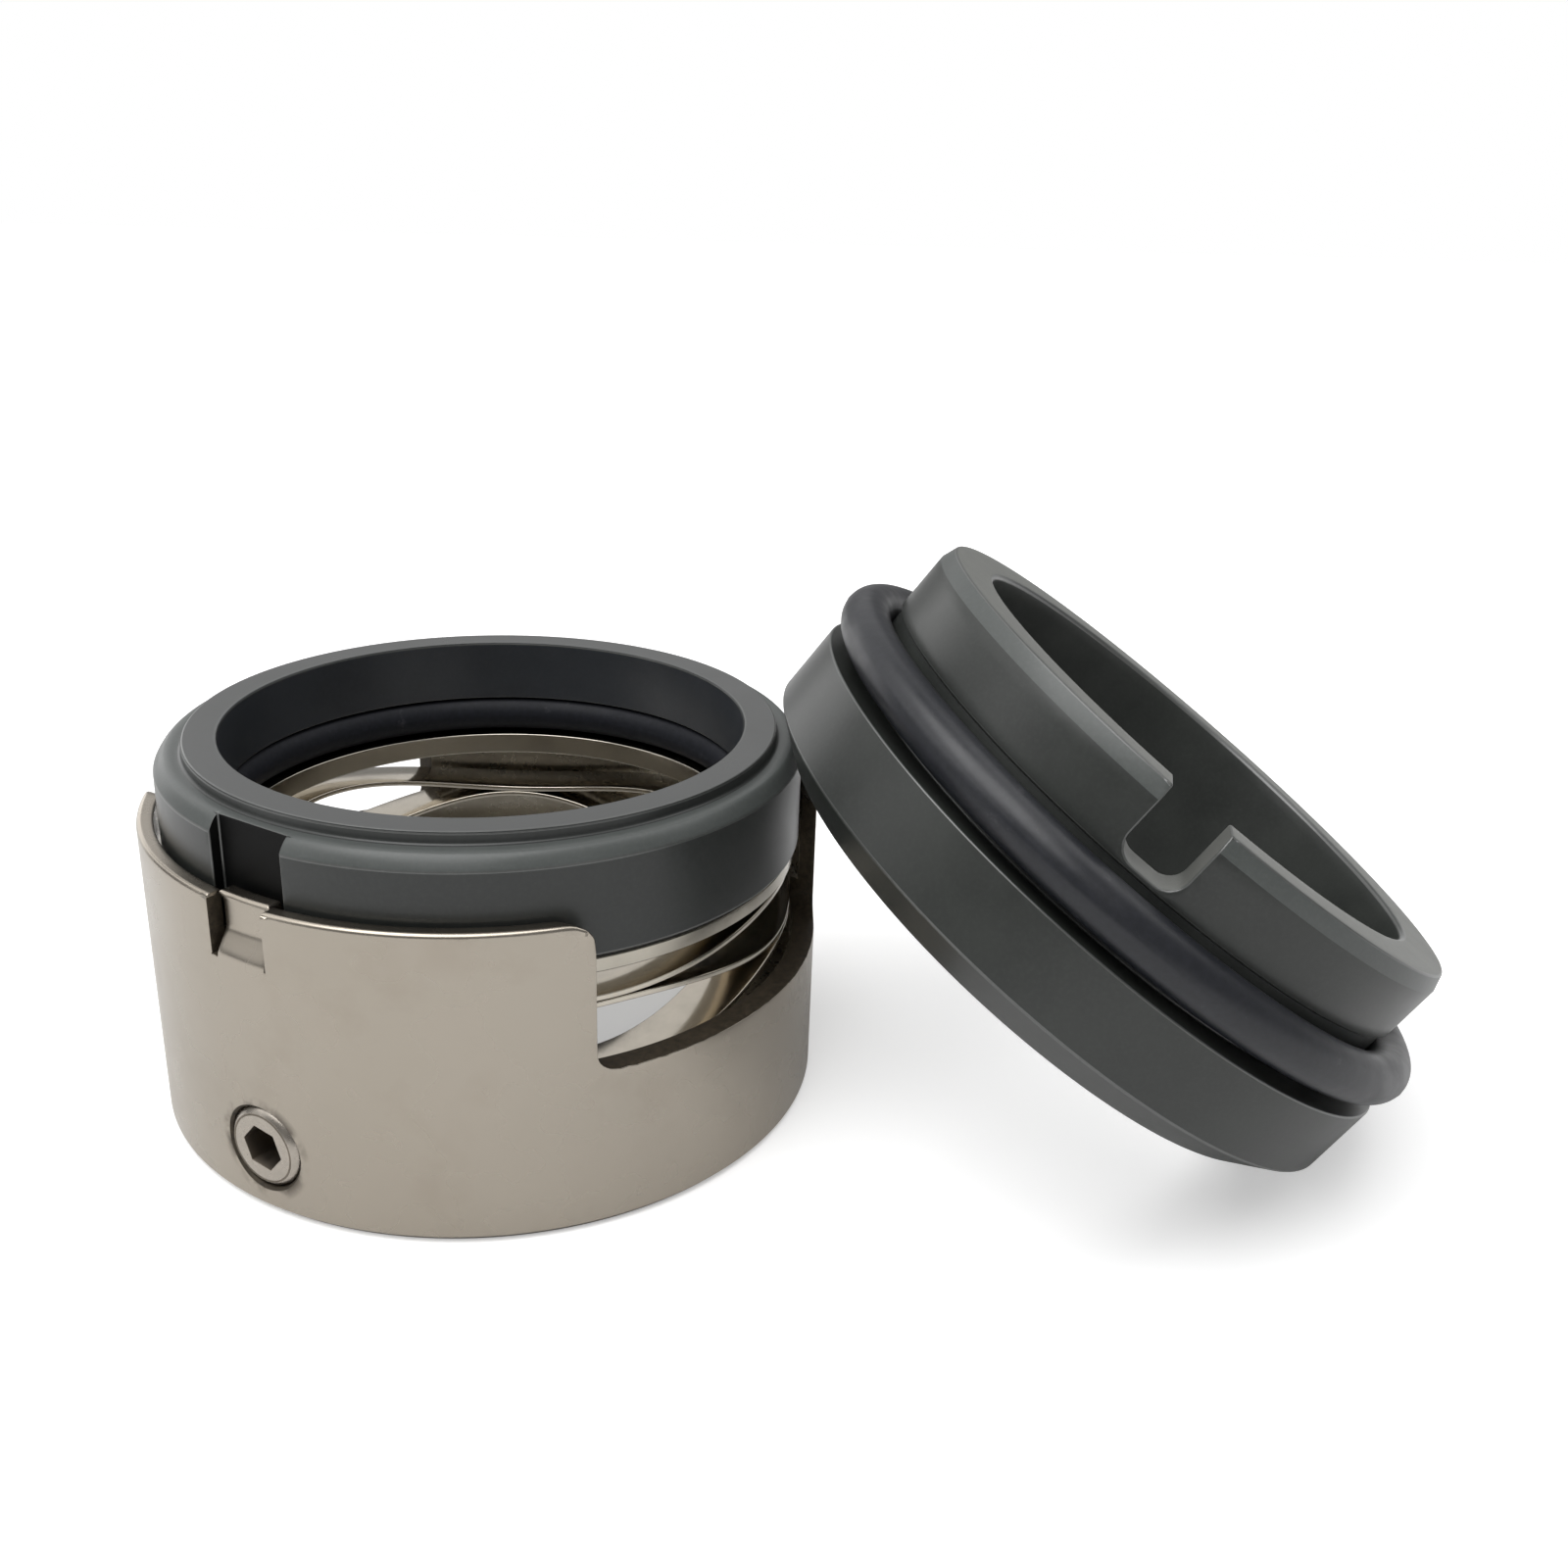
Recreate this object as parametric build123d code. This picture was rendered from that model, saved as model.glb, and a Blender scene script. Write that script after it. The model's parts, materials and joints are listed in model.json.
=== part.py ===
from build123d import *
from math import acos, cos, degrees, radians, sin
import os

# Component mechanical seal for a 45 mm shaft: a rotary head that stands on its base, and the
# stationary seat ring with its O-ring, tipped over so that it leans on the head.
# Millimetres and degrees. +Z is the head's axis, z = 0 the surface that both stand on.

# Shaft and clearances
shaft_diameter = 45.0
collar_clearance = 0.05         # collar on the shaft, radial
face_bore_clearance = 0.42      # seal face round the shaft, radial
thrust_bore_clearance = 0.1     # thrust ring round the shaft, radial
face_clearance = 0.4            # seal face inside the sleeve, radial
tab_clearance = 0.4             # drive tab above the floor of its slot
spring_clearance = 0.3          # spring inside its chamber, radial
contact_gap = 0.05              # left between curved pieces that touch
screw_clearance = 0.05          # set screw in its hole, radial

# Shaft O-ring and the cavity that holds it
shaft_oring_section = 3.55
shaft_oring_squeeze = 0.2       # the O-ring is this much smaller than the shaft, radially
shaft_oring_play = 0.3          # between the O-ring and the thrust ring's spigot

# Seal face ring
slot_web = 1.0                  # wall between the O-ring cavity and a drive slot
slot_depth = 1.3
slot_width = 7.6
face_chamfer = 0.3              # round the back of the ring
face_height = 9.6               # from the back of the ring up to the shoulder
shoulder_radius = 0.9           # rounding of the shoulder's outer edge
nose_width = 2.95
nose_height = 1.05
nose_edge = 0.12
nose_foot_radius = 0.3

# Thrust ring
thrust_flange = 1.3
spigot_height = 0.8
thrust_overhang = 0.2           # beyond the spring, radial

# Wave spring: one flat wire wound on edge, each turn half a wave out of step with the next
spring_wire = 0.5
spring_width = 4.9
spring_height = 10.2            # from the collar's ledge to the thrust ring
waves_per_turn = 3.5
half_waves = 15                 # from the first trough, on the ledge, to the last crest
swing_growth = 0.9              # the waves open this much per turn, from the thrust ring down
crest_azimuth = -20.0           # last crest, under the thrust ring
lead_in = 42.0                  # wire before the first trough
tail = 20.0                     # wire after the last crest
points_per_wave = 16

# Retainer
sleeve_wall = 1.4
chamber_step = 0.7              # the sleeve is this much thicker round the spring
collar_height = 11.8
chamber_height = 5.6            # from the ledge up to where the sleeve thins
sleeve_cover = 4.2              # the rim stands this far above the back of the seal face
rim_radius = 0.3
base_chamfer = 0.6
collar_chamfer = 0.4
window_azimuth = -40.8
window_angle = 69.6
sill_rise = 2.6                 # from the ledge up to the sill
window_corner = 1.6
window_flare = 2.2              # convex rounding where a window meets the rim

# Drive tabs, each bent in from the sleeve beside a slit; the depths are below the rim
drive_azimuth = -131.6
tab_width = 5.0
tab_offset = 0.7                # its middle, to the right of the slot's
tab_depth = 5.1
tab_bend_depth = 2.9
tab_shear = 0.12
slit_width = 0.7
horn_width = 0.5                # the strip's upper corner reaches this far across the slit
horn_height = 0.7

# Set screws
screw_azimuth = -129.5
screw_diameter = 7.2
screw_length = 6.4
screw_chamfer = 0.5
cup_radius = 1.8
cup_depth = 0.6
socket_size = 3.5               # across flats
socket_turn = -10.0
socket_depth = 3.2
hole_countersink = 0.3

# Seat ring, measured along its own axis from its sealing face
seat_bore_clearance = 0.65
seat_wall = 4.85
seat_land = 4.8                 # width of the flat sealing face
flange_rise = 3.35              # flange above the hub
flange_chamfer = 2.8
flange_length = 9.4
seat_groove_depth = 0.35
hub_length = 6.8                # from the O-ring groove to the end
hub_chamfer_length = 1.45
hub_chamfer_depth = 0.5
seat_bore_edge = 0.25
notch_width = 5.5
notch_web = 0.5                 # left between the notch and the O-ring groove
notch_corner = 1.7
notch_azimuth = 162.7

# Seat O-ring
seat_oring_section = 4.32
seat_oring_place = 3.07         # from the back of the flange to the middle of the section
seat_oring_play = 0.37          # from the section to the hub's end of the groove

# How the seat leans on the head
seat_reach = 0.22               # its upper edge above the head's shoulder
seat_azimuth = -10.4
seat_offset = -3.25             # its axis beside the head's axis

# Radii that follow, from the shaft outwards
shaft_radius = shaft_diameter / 2
collar_bore = shaft_radius + collar_clearance
face_bore = shaft_radius + face_bore_clearance
thrust_bore = shaft_radius + thrust_bore_clearance
oring_inner = shaft_radius - shaft_oring_squeeze
cavity_radius = oring_inner + shaft_oring_section + contact_gap
slot_floor = cavity_radius + slot_web
face_radius = slot_floor + slot_depth
nose_radius = face_bore + nose_width
sleeve_bore = face_radius + face_clearance
sleeve_radius = sleeve_bore + sleeve_wall
chamber_radius = sleeve_bore - chamber_step
spring_outer = chamber_radius - spring_clearance
spring_inner = spring_outer - spring_width
tab_inner = slot_floor + tab_clearance

# Heights that follow
thrust_bottom = collar_height + spring_height
face_bottom = thrust_bottom + thrust_flange
spigot_top = face_bottom + spigot_height
cavity_roof = spigot_top + shaft_oring_play + shaft_oring_section + contact_gap
shoulder_height = face_bottom + face_height
nose_top = shoulder_height + nose_height
step_height = collar_height + chamber_height
window_sill = collar_height + sill_rise
retainer_height = face_bottom + sleeve_cover
tab_root = retainer_height - tab_depth
tab_bend = retainer_height - tab_bend_depth
screw_height = collar_height / 2

# Seat sizes that follow
seat_bore = shaft_radius + seat_bore_clearance
seat_hub = seat_bore + seat_wall
seat_flange = seat_hub + flange_rise
seat_face = seat_bore + seat_land
seat_groove = seat_hub - seat_groove_depth
seat_oring_radius = seat_groove + contact_gap + seat_oring_section / 2
seat_oring_height = flange_length + seat_oring_place
groove_end = seat_oring_height + seat_oring_section / 2 + seat_oring_play
seat_length = groove_end + hub_length
notch_floor = groove_end + notch_web


def section(points, rounded):
    """A closed outline of (radius, height) points; rounded pairs some of them with a corner radius."""
    outline = make_face(Polyline(*points, close=True))
    for (radius, height), size in rounded:
        corner = outline.vertices().sort_by_distance(Vector(radius, height))[0]
        outline = fillet(corner, size)
    return Plane.XZ * outline


def ring(points, rounded=()):
    """Turn such an outline all the way round Z."""
    return revolve(section(points, rounded), Axis.Z)


def sector(points, start, end, rounded=()):
    """Turn it from one azimuth to another only."""
    return Rot(0, 0, start) * revolve(section(points, rounded), Axis.Z, end - start)


def facing(azimuth):
    """The upright plane through the axis that faces an azimuth: x runs round, y runs up, z points out."""
    around = radians(azimuth)
    return Plane((0, 0, 0), x_dir=(-sin(around), cos(around), 0), z_dir=(cos(around), sin(around), 0))


def opposite(piece):
    """The same feature on the other side of the head."""
    return Rot(0, 0, 180) * piece


def window_cut():
    """Both windows in one straight cut: open at the top, with rounded sill corners and flared mouths."""
    half_width = sleeve_radius * sin(radians(window_angle / 2))
    rise = retainer_height - window_sill
    outline = Pos(0, window_sill + rise / 2) * Rectangle(2 * half_width, rise)
    outline = fillet(outline.vertices().group_by(Axis.Y)[0], window_corner)
    shoulder = retainer_height - window_flare
    for side in (-1, 1):
        corner = Pos(side * (half_width + window_flare / 2), shoulder + window_flare / 2)
        round_off = Pos(side * (half_width + window_flare), shoulder) * Circle(window_flare)
        outline += corner * Rectangle(window_flare, window_flare) - round_off
    return extrude(facing(window_azimuth) * outline, 2 * sleeve_radius, both=True)


def drive_tab(sleeve):
    """Slit the sleeve and bend the strip beside the slit inwards, as a key for the seal face's slot."""
    degrees_per_mm = degrees(1 / sleeve_radius)
    left = drive_azimuth + (tab_offset - tab_width / 2) * degrees_per_mm
    right = drive_azimuth + (tab_offset + tab_width / 2) * degrees_per_mm
    above = retainer_height + sleeve_wall
    tab_outer = tab_inner + sleeve_wall
    pocket = [
        (chamber_radius, tab_root),
        (sleeve_radius + sleeve_wall, tab_root),
        (sleeve_radius + sleeve_wall, above),
        (chamber_radius, above),
    ]
    strip = [
        (sleeve_bore, tab_root - sleeve_wall),
        (sleeve_radius, tab_root - sleeve_wall),
        (sleeve_radius, tab_root),
        (tab_outer, tab_bend),
        (tab_outer, retainer_height),
        (tab_inner, retainer_height),
        (tab_inner, tab_bend),
        (sleeve_bore, tab_root),
    ]
    horn = [
        (tab_inner, retainer_height - horn_height),
        (tab_outer, retainer_height - horn_height),
        (tab_outer, retainer_height),
        (tab_inner, retainer_height),
    ]
    rounded = [((tab_outer, retainer_height), rim_radius), ((tab_inner, retainer_height), rim_radius)]
    sleeve -= sector(pocket, left - slit_width * degrees_per_mm, right + tab_shear * degrees_per_mm)
    sleeve += sector(strip, left, right, rounded)
    return sleeve + sector(horn, left - horn_width * degrees_per_mm, left, rounded)


def screw_plane(azimuth):
    """The plane of a set screw's outer end, flush with the collar, with z pointing out along the screw."""
    plane = facing(azimuth)
    plane.origin = plane.z_dir * sleeve_radius + Vector(0, 0, screw_height)
    return plane


def screw_hole(azimuth):
    """A hole right through the collar, countersunk at the outside."""
    radius = screw_diameter / 2 + screw_clearance
    reach = sleeve_radius - collar_bore + screw_diameter
    hole = Cylinder(radius, 2 * reach)
    mouth = Cone(radius, radius + 2 * hole_countersink, 2 * hole_countersink)
    return screw_plane(azimuth) * (hole + mouth)


def make_retainer():
    """The collar that clamps on the shaft, and the sleeve that carries the spring and the face."""
    retainer = ring(
        [
            (collar_bore, 0),
            (sleeve_radius - base_chamfer, 0),
            (sleeve_radius, base_chamfer),
            (sleeve_radius, retainer_height),
            (sleeve_bore, retainer_height),
            (sleeve_bore, step_height),
            (chamber_radius, step_height),
            (chamber_radius, collar_height),
            (collar_bore + collar_chamfer, collar_height),
            (collar_bore, collar_height - collar_chamfer),
        ],
        [((sleeve_radius, retainer_height), rim_radius), ((sleeve_bore, retainer_height), rim_radius)],
    )
    retainer -= window_cut()
    retainer = opposite(drive_tab(opposite(drive_tab(retainer))))
    for azimuth in (screw_azimuth, screw_azimuth + 180):
        retainer -= screw_hole(azimuth)
    return retainer


def make_seal_face():
    """The rotating face: a narrow nose, an O-ring cavity at the back, and two drive slots."""
    face = ring(
        [
            (cavity_radius, face_bottom),
            (face_radius - face_chamfer, face_bottom),
            (face_radius, face_bottom + face_chamfer),
            (face_radius, shoulder_height),
            (nose_radius, shoulder_height),
            (nose_radius, nose_top - nose_edge),
            (nose_radius - nose_edge, nose_top),
            (face_bore + nose_edge, nose_top),
            (face_bore, nose_top - nose_edge),
            (face_bore, cavity_roof),
            (cavity_radius, cavity_roof),
        ],
        [
            ((face_radius, shoulder_height), shoulder_radius),
            ((nose_radius, shoulder_height), nose_foot_radius),
        ],
    )
    middle = (face_bottom + shoulder_height) / 2
    slot = Pos(0, middle, slot_floor + slot_depth) * Box(slot_width, 2 * face_height, 2 * slot_depth)
    slot = facing(drive_azimuth) * slot
    return face - slot - opposite(slot)


def make_thrust_ring():
    """The washer between spring and face, with a spigot that backs the O-ring."""
    spigot_radius = cavity_radius - contact_gap
    thrust_radius = spring_outer + thrust_overhang
    return ring([
        (thrust_bore, thrust_bottom),
        (thrust_radius, thrust_bottom),
        (thrust_radius, face_bottom),
        (spigot_radius, face_bottom),
        (spigot_radius, spigot_top),
        (thrust_bore, spigot_top),
    ])


def make_shaft_oring():
    """The O-ring in the seal face's cavity, against its roof."""
    section = shaft_oring_section / 2
    return Pos(0, 0, cavity_roof - contact_gap - section) * Torus(oring_inner + section, section)


def make_wave_spring():
    """One flat wire in a right-hand coil that waves up and down, so that each crest meets a trough."""
    turns = half_waves / waves_per_turn / 2
    step = spring_wire + contact_gap
    reach = spring_height - spring_wire - 2 * contact_gap
    first_swing = (reach - step * turns) / (turns + 1) - swing_growth * turns / 2
    start = crest_azimuth - turns * 360 - lead_in
    end = crest_azimuth + tail
    steps = round((end - start) / 360 * waves_per_turn * points_per_wave)

    def drop(azimuth):
        """How far the wire lies below the last crest, which is counted down from."""
        down = (crest_azimuth - azimuth) / 360
        swing = first_swing + swing_growth * down
        pitch = step + first_swing + swing_growth / 2 * (down - 1)
        return pitch * down + swing / 2 * (1 - cos(radians(waves_per_turn * 360 * down)))

    def strand(radius, lift):
        """One long edge of the wire."""
        crest = thrust_bottom - contact_gap - spring_wire
        path = []
        for index in range(steps + 1):
            azimuth = start + (end - start) * index / steps
            around = radians(azimuth)
            path.append((radius * cos(around), radius * sin(around), crest - drop(azimuth) + lift))
        return Spline(*path)

    strands = [
        strand(spring_inner, 0),
        strand(spring_outer, 0),
        strand(spring_outer, spring_wire),
        strand(spring_inner, spring_wire),
    ]
    faces = []
    for index in range(4):
        faces.append(Face.make_surface_from_curves(strands[index - 1], strands[index]))
    for place in (0, 1):
        corners = [edge @ place for edge in strands]
        faces.append(make_face(Polyline(*corners, close=True)).face())
    return Solid(Shell(faces))


def make_set_screw(azimuth):
    """A hexagon-socket set screw with a cup point, its outer end flush with the collar."""
    radius = screw_diameter / 2
    screw = ring([
        (0, cup_depth - screw_length),
        (cup_radius, -screw_length),
        (radius - screw_chamfer, -screw_length),
        (radius, screw_chamfer - screw_length),
        (radius, -screw_chamfer),
        (radius - screw_chamfer, 0),
        (0, 0),
    ])
    corner_radius = socket_size / 2 / cos(radians(30))
    screw -= extrude(Rot(0, 0, socket_turn) * RegularPolygon(corner_radius, 6), -socket_depth)
    return screw_plane(azimuth) * screw


def seat_plane():
    """The plane of the seat's sealing face as it leans: its edge on the ground, the face on the head."""
    tilt = acos((shoulder_height + seat_reach) / (2 * seat_face))
    heading = radians(seat_azimuth)
    axis = Vector(cos(tilt) * cos(heading), cos(tilt) * sin(heading), sin(tilt))
    across = Vector(-sin(heading), cos(heading), 0)
    forward = Vector(cos(heading), sin(heading), 0)
    rests = [
        (seat_face, 0),
        (seat_flange, flange_chamfer),
        (seat_oring_radius + seat_oring_section / 2, seat_oring_height),
    ]
    height = max(radius * cos(tilt) - along * sin(tilt) for radius, along in rests)
    touches = [
        (face_radius - shoulder_radius, shoulder_height - shoulder_radius, shoulder_radius),
        (nose_radius - nose_edge, nose_top, 0),
        (nose_radius, nose_top - nose_edge, 0),
        (sleeve_radius - rim_radius, retainer_height - rim_radius, rim_radius),
    ]
    reach = max(radius * cos(tilt) + level * sin(tilt) + edge for radius, level, edge in touches)
    distance = (reach + contact_gap - height * sin(tilt)) / cos(tilt)
    centre = forward * distance + across * seat_offset + Vector(0, 0, height)
    return Plane(centre, x_dir=across, z_dir=axis)


def make_seat_ring():
    """The stationary seat: a lapped face, a flange, a seat for the O-ring and a notched hub."""
    seat = ring([
        (seat_bore, seat_bore_edge),
        (seat_bore + seat_bore_edge, 0),
        (seat_face, 0),
        (seat_flange, flange_chamfer),
        (seat_flange, flange_length),
        (seat_groove, flange_length),
        (seat_groove, groove_end),
        (seat_hub, groove_end),
        (seat_hub, seat_length - hub_chamfer_length),
        (seat_hub - hub_chamfer_depth, seat_length),
        (seat_bore + seat_bore_edge, seat_length),
        (seat_bore, seat_length - seat_bore_edge),
    ])
    outline = Pos(0, notch_floor + hub_length) * Rectangle(notch_width, 2 * hub_length)
    outline = fillet(outline.vertices().group_by(Axis.Y)[0], notch_corner)
    notch = extrude(facing(notch_azimuth) * outline, 2 * seat_hub)
    return seat - notch


def make_seat_oring():
    """The O-ring behind the seat's flange."""
    return Pos(0, 0, seat_oring_height) * Torus(seat_oring_radius, seat_oring_section / 2)


leaning = seat_plane()
nodes = {
    "retainer": make_retainer(),
    "seal_face": make_seal_face(),
    "shaft_oring": make_shaft_oring(),
    "thrust_ring": make_thrust_ring(),
    "wave_spring": make_wave_spring(),
    "set_screw_1": make_set_screw(screw_azimuth),
    "set_screw_2": make_set_screw(screw_azimuth + 180),
    "seat_ring": leaning * make_seat_ring(),
    "seat_oring": leaning * make_seat_oring(),
}

os.makedirs("parts", exist_ok=True)
for name, piece in nodes.items():
    export_step(piece, f"parts/{name}.step")
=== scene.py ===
import json
from math import asin, atan2, ceil, cos, degrees, hypot, pi, radians, sin, sqrt

import bmesh
import bpy
import numpy as np
from mathutils import Matrix, Vector, noise
from mathutils.geometry import delaunay_2d_cdt


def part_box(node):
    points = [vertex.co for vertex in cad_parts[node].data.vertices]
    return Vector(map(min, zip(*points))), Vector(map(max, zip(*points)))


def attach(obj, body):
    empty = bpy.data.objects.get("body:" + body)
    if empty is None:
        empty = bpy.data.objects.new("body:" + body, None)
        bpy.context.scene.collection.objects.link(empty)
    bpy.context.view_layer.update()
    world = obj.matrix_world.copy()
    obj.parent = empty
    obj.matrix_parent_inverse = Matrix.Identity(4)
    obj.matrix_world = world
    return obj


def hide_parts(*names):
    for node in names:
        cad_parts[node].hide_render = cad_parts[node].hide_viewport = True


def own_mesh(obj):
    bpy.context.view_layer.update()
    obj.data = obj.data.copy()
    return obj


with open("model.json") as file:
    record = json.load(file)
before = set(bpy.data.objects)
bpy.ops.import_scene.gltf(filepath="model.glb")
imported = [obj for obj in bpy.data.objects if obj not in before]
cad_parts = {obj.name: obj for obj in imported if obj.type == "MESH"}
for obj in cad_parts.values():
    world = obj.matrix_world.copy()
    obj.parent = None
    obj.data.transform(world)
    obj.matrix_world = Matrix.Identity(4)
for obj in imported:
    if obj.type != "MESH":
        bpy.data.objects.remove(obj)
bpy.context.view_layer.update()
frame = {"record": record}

# Component mechanical seal for a 45 mm shaft: the rotary head stands on its collar, and the
# stationary seat ring leans on it. Shapes are worked out in millimetres and become metres in the mesh.
MM = 0.001
WELD = 0.002                    # points closer than this become one
SHARP = radians(24)             # edges that turn more than this are rounded
HAIR = 0.01                     # how far a place may lie from a line and still be on it

# The order of each piece's finishes
OUTSIDE, SHEARED_AND_SHADE, INSIDE = range(3)
BARREL, SOCKET = range(2)
# The fourth finish is a near-black painted shade in the seal face, on its drive slots and back chamfer, and
# the lighter ground end in the seat.
PLAIN, LAPPED, WORN, SHADE_AND_GROUND, SLOPED, HONED = range(6)


# ---------------------------------------------------------------- sizes

def corners(node):
    """A node's lowest and highest corner, in millimetres."""
    low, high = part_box(node)
    return low / MM, high / MM


def mount(name):
    """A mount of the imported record."""
    return next(found for found in frame["record"]["mounts"] if found["name"] == name)


retainer_high = corners("retainer")[1]
face_low, face_high = corners("seal_face")
thrust_low, thrust_high = corners("thrust_ring")

# Retainer
sleeve_radius = 30.0
retainer_height = retainer_high.z
collar_bore = mount("shaft_bore")["dims"]["r_mm"]
collar_height = 11.8
sleeve_bore = 28.6
chamber_radius = 27.9
step_height = collar_height + 5.6
step_blend = 0.03
base_chamfer = 0.6
collar_chamfer = 0.4
window_azimuth = -40.8
window_angle = 69.6
window_sill = collar_height + 2.6
window_corner = 1.6
window_flare = 1.8
sill_burr = 0.09
burr_waves = (0.8, 2.6)         # broad and fine waves of the burr, per degree
wall_shares = (0, 0.33, 0.52, 0.68, 1)  # rows of faces across the sleeve's cut edge
base_ring = 26.0                # where the base and the ledge are divided into two rings
ledge_ring = 25.0
wall_row = 1.3                  # widest spacing of rows and of points along each line
bore_row = 1.2
side_step = 1.0
sill_step = 0.6
slit_step = 0.35
step_columns = 1.5              # degrees between the columns
seam_azimuth = 85.0             # where the two halves meet

# Drive tab and the slit beside it
drive_azimuth = -131.6
tab_left = -1.8
tab_right = 3.2
tab_root = retainer_height - 5.1
tab_bend = retainer_height - 2.9
tab_crease = 0.35
tab_shear = 0.12
tab_shift = 1.3
slit_width = 0.7
horn_width = 0.5
horn_height = 0.85
horn_tip = 0.3
strip_inset = 0.5               # the strip's own points keep this far from its sides
strip_step = 0.7
root_rises = (0.1, 0.3, 0.55, 0.9, 1.4)
bend_rises = (-tab_crease, -0.15, 0, 0.15, tab_crease, 1.0, 1.7, 2.3)

# Set screws
screw_azimuth = -129.5
screw_height = collar_height / 2
screw_radius = 3.6
screw_length = 6.4
screw_chamfer = 0.5
cup_radius = 1.8
cup_depth = 0.6
cup_tip = 0.03
socket_size = 3.5
socket_turn = -10.0
socket_depth = 3.2
socket_margin = 0.2             # from the hexagon's corners to the plain face
drill_depth = 0.5
drill_tip = 0.02
face_line = 0.09
hole_radius = 3.65
hole_mouth = 0.25
hole_shade_width = 0.9                # of the painted shade round each hole
thread_start = 0.55
thread_pitch = 1.0
screw_thread = 0.42
hole_thread = 0.38
thread_crest = 1.25             # how much wider the thread's flank is than its flat
thread_fade = 0.6               # pitches over which each end runs out
far_away = 1000.0
around_screw = 72
rows_along_screw = 60
rows_along_hole = 84

# Seal face
cavity_radius = 25.9
cavity_roof = 28.0
slot_floor = 26.9
slot_width = 7.6
slot_steps = 12
slot_rows = 5
face_radius = 28.2
face_chamfer = 0.5
shoulder_height = face_low.z + 9.6
shoulder_width = 1.0
shoulder_drop = 1.2
shoulder_curve = 1.6
nose_radius = 25.87
nose_top = face_high.z
nose_edge = 0.12
nose_foot = 0.3
face_bore = 22.92
bore_ring = nose_top - 3.0
nose_ring = 24.4
land_rings = (26.4, 26.62)
lobe_steps = 140
around_face = 288

# Thrust ring, spring and O-rings
thrust_bore = 22.6
thrust_radius = 27.8
spigot_radius = 25.85
washer_ring = 25.2
spigot_ring = 24.2
spring_inner = 22.7
spring_outer = 27.6
spring_wire = 0.5
spring_gap = 0.05
spring_edge = 0.09
edge_points = 3
waves_per_turn = 3.5
half_waves = 15
swing_growth = 0.9
crest_azimuth = -20
lead_in = 42
tail = 20
shaft_oring_section = 3.55
shaft_oring_inner = 22.3
seat_oring_section = 4.32
seat_oring_radius = 29.86
seat_oring_height = 12.47
flash_height = 0.025
flash_width = 0.16
around_section = 64

# Seat ring
seat_bore = mount("seat_bore")["dims"]["r_mm"]
seat_hub = mount("seat_hub")["dims"]["r_mm"]
seat_face = 27.95
seat_flange = 31.35
flange_chamfer = 2.8
flange_length = 9.4
seat_groove = 27.65
groove_end = 15.0
seat_length = 21.8
hub_chamfer_length = 1.45
hub_chamfer_depth = 0.5
seat_bore_edge = 0.25
notch_width = 5.5
notch_floor = 15.5
notch_corner = 1.7
notch_azimuth = 162.7
lapped_ring = 25.5              # where plain surfaces are divided into two rows
bore_middle = 7.0
flange_middle = 6.0
flange_ring = 29.4
groove_middle = 12.0
notch_side_step = 0.7
notch_floor_step = 0.6
seat_margin = 0.2
notch_share = 0.16              # rows of faces across the notch's walls
bore_join = groove_end - 1.0    # where the notched part of the bore begins
unrolled_radius = 26.0
seat_column = 1.25
seat_rows = (1.1, 1.3, 1.2)     # on the hub, on its end and down the bore

# Edge breaks: widths, and shares of a piece's own width
edge_break = 0.38
inner_rim = 0.6
fine_edge = 0.2
shear_edge = 0.07
ceramic_edge = 0.16
face_edge_break = 0.12
slot_edge = 0.3
washer_edge = 0.15
screw_edge = 0.036


# ---------------------------------------------------------------- shells

class Shell:
    """Faces gathered in millimetres and welded into one closed mesh at the end."""

    def __init__(self):
        self.points = []
        self.faces = []
        self.finishes = []

    def add(self, points, faces, finish=0):
        """Faces over points of their own, with one finish, or a list with one for each face."""
        first = len(self.points)
        self.points.extend(tuple(point) for point in points)
        self.faces.extend(tuple(first + index for index in face) for face in faces)
        self.finishes.extend(finish if isinstance(finish, list) else [finish] * len(faces))

    def strip(self, lines, closed=False, finish=0):
        """Quads between neighbouring lines of equally many points."""
        count = len(lines[0])
        last = count if closed else count - 1
        faces = []
        for row in range(len(lines) - 1):
            for column in range(last):
                beside = (column + 1) % count
                lower = row * count
                upper = lower + count
                faces.append((lower + column, lower + beside, upper + beside, upper + column))
        self.add([point for line in lines for point in line], faces, finish)

    def add_mesh(self, mesh, placed=Vector, finish=0):
        """A mesh's faces, with each of its points placed by a function."""
        points = [placed(vertex.co) for vertex in mesh.vertices]
        self.add(points, [face.vertices for face in mesh.polygons], finish)

    def copy_of(self, other, turned):
        """The same faces again, turned about Z."""
        c = cos(radians(turned))
        s = sin(radians(turned))
        spun = [(x * c - y * s, x * s + y * c, z) for x, y, z in other.points]
        self.add(spun, other.faces, other.finishes)


def polar(radius, azimuth, height):
    """A point from its radius, azimuth in degrees and height."""
    around = radians(azimuth)
    return (radius * cos(around), radius * sin(around), height)


def spread(start, end, step):
    """Evenly spaced values from start to end, no further apart than step."""
    count = max(1, ceil(abs(end - start) / step - 1e-9))
    return [start + (end - start) * index / count for index in range(count + 1)]


def even(start, end, count):
    """A number of equal steps from start to end."""
    return [start + (end - start) * index / count for index in range(count + 1)]


def arc(centre, radius, start, end, steps):
    """Points of an arc in a plane, with its angles in degrees."""
    angles = [radians(start + (end - start) * step / steps) for step in range(steps + 1)]
    return [(centre[0] + radius * cos(angle), centre[1] + radius * sin(angle)) for angle in angles]


def turn(shell, profile, azimuths, finish=0, closed=True):
    """Turn an outline of (radius, height) points about Z, all the way round or over the azimuths only."""
    lines = [[polar(radius, azimuth, height) for azimuth in azimuths] for radius, height in profile]
    shell.strip(lines, closed, finish)


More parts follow.
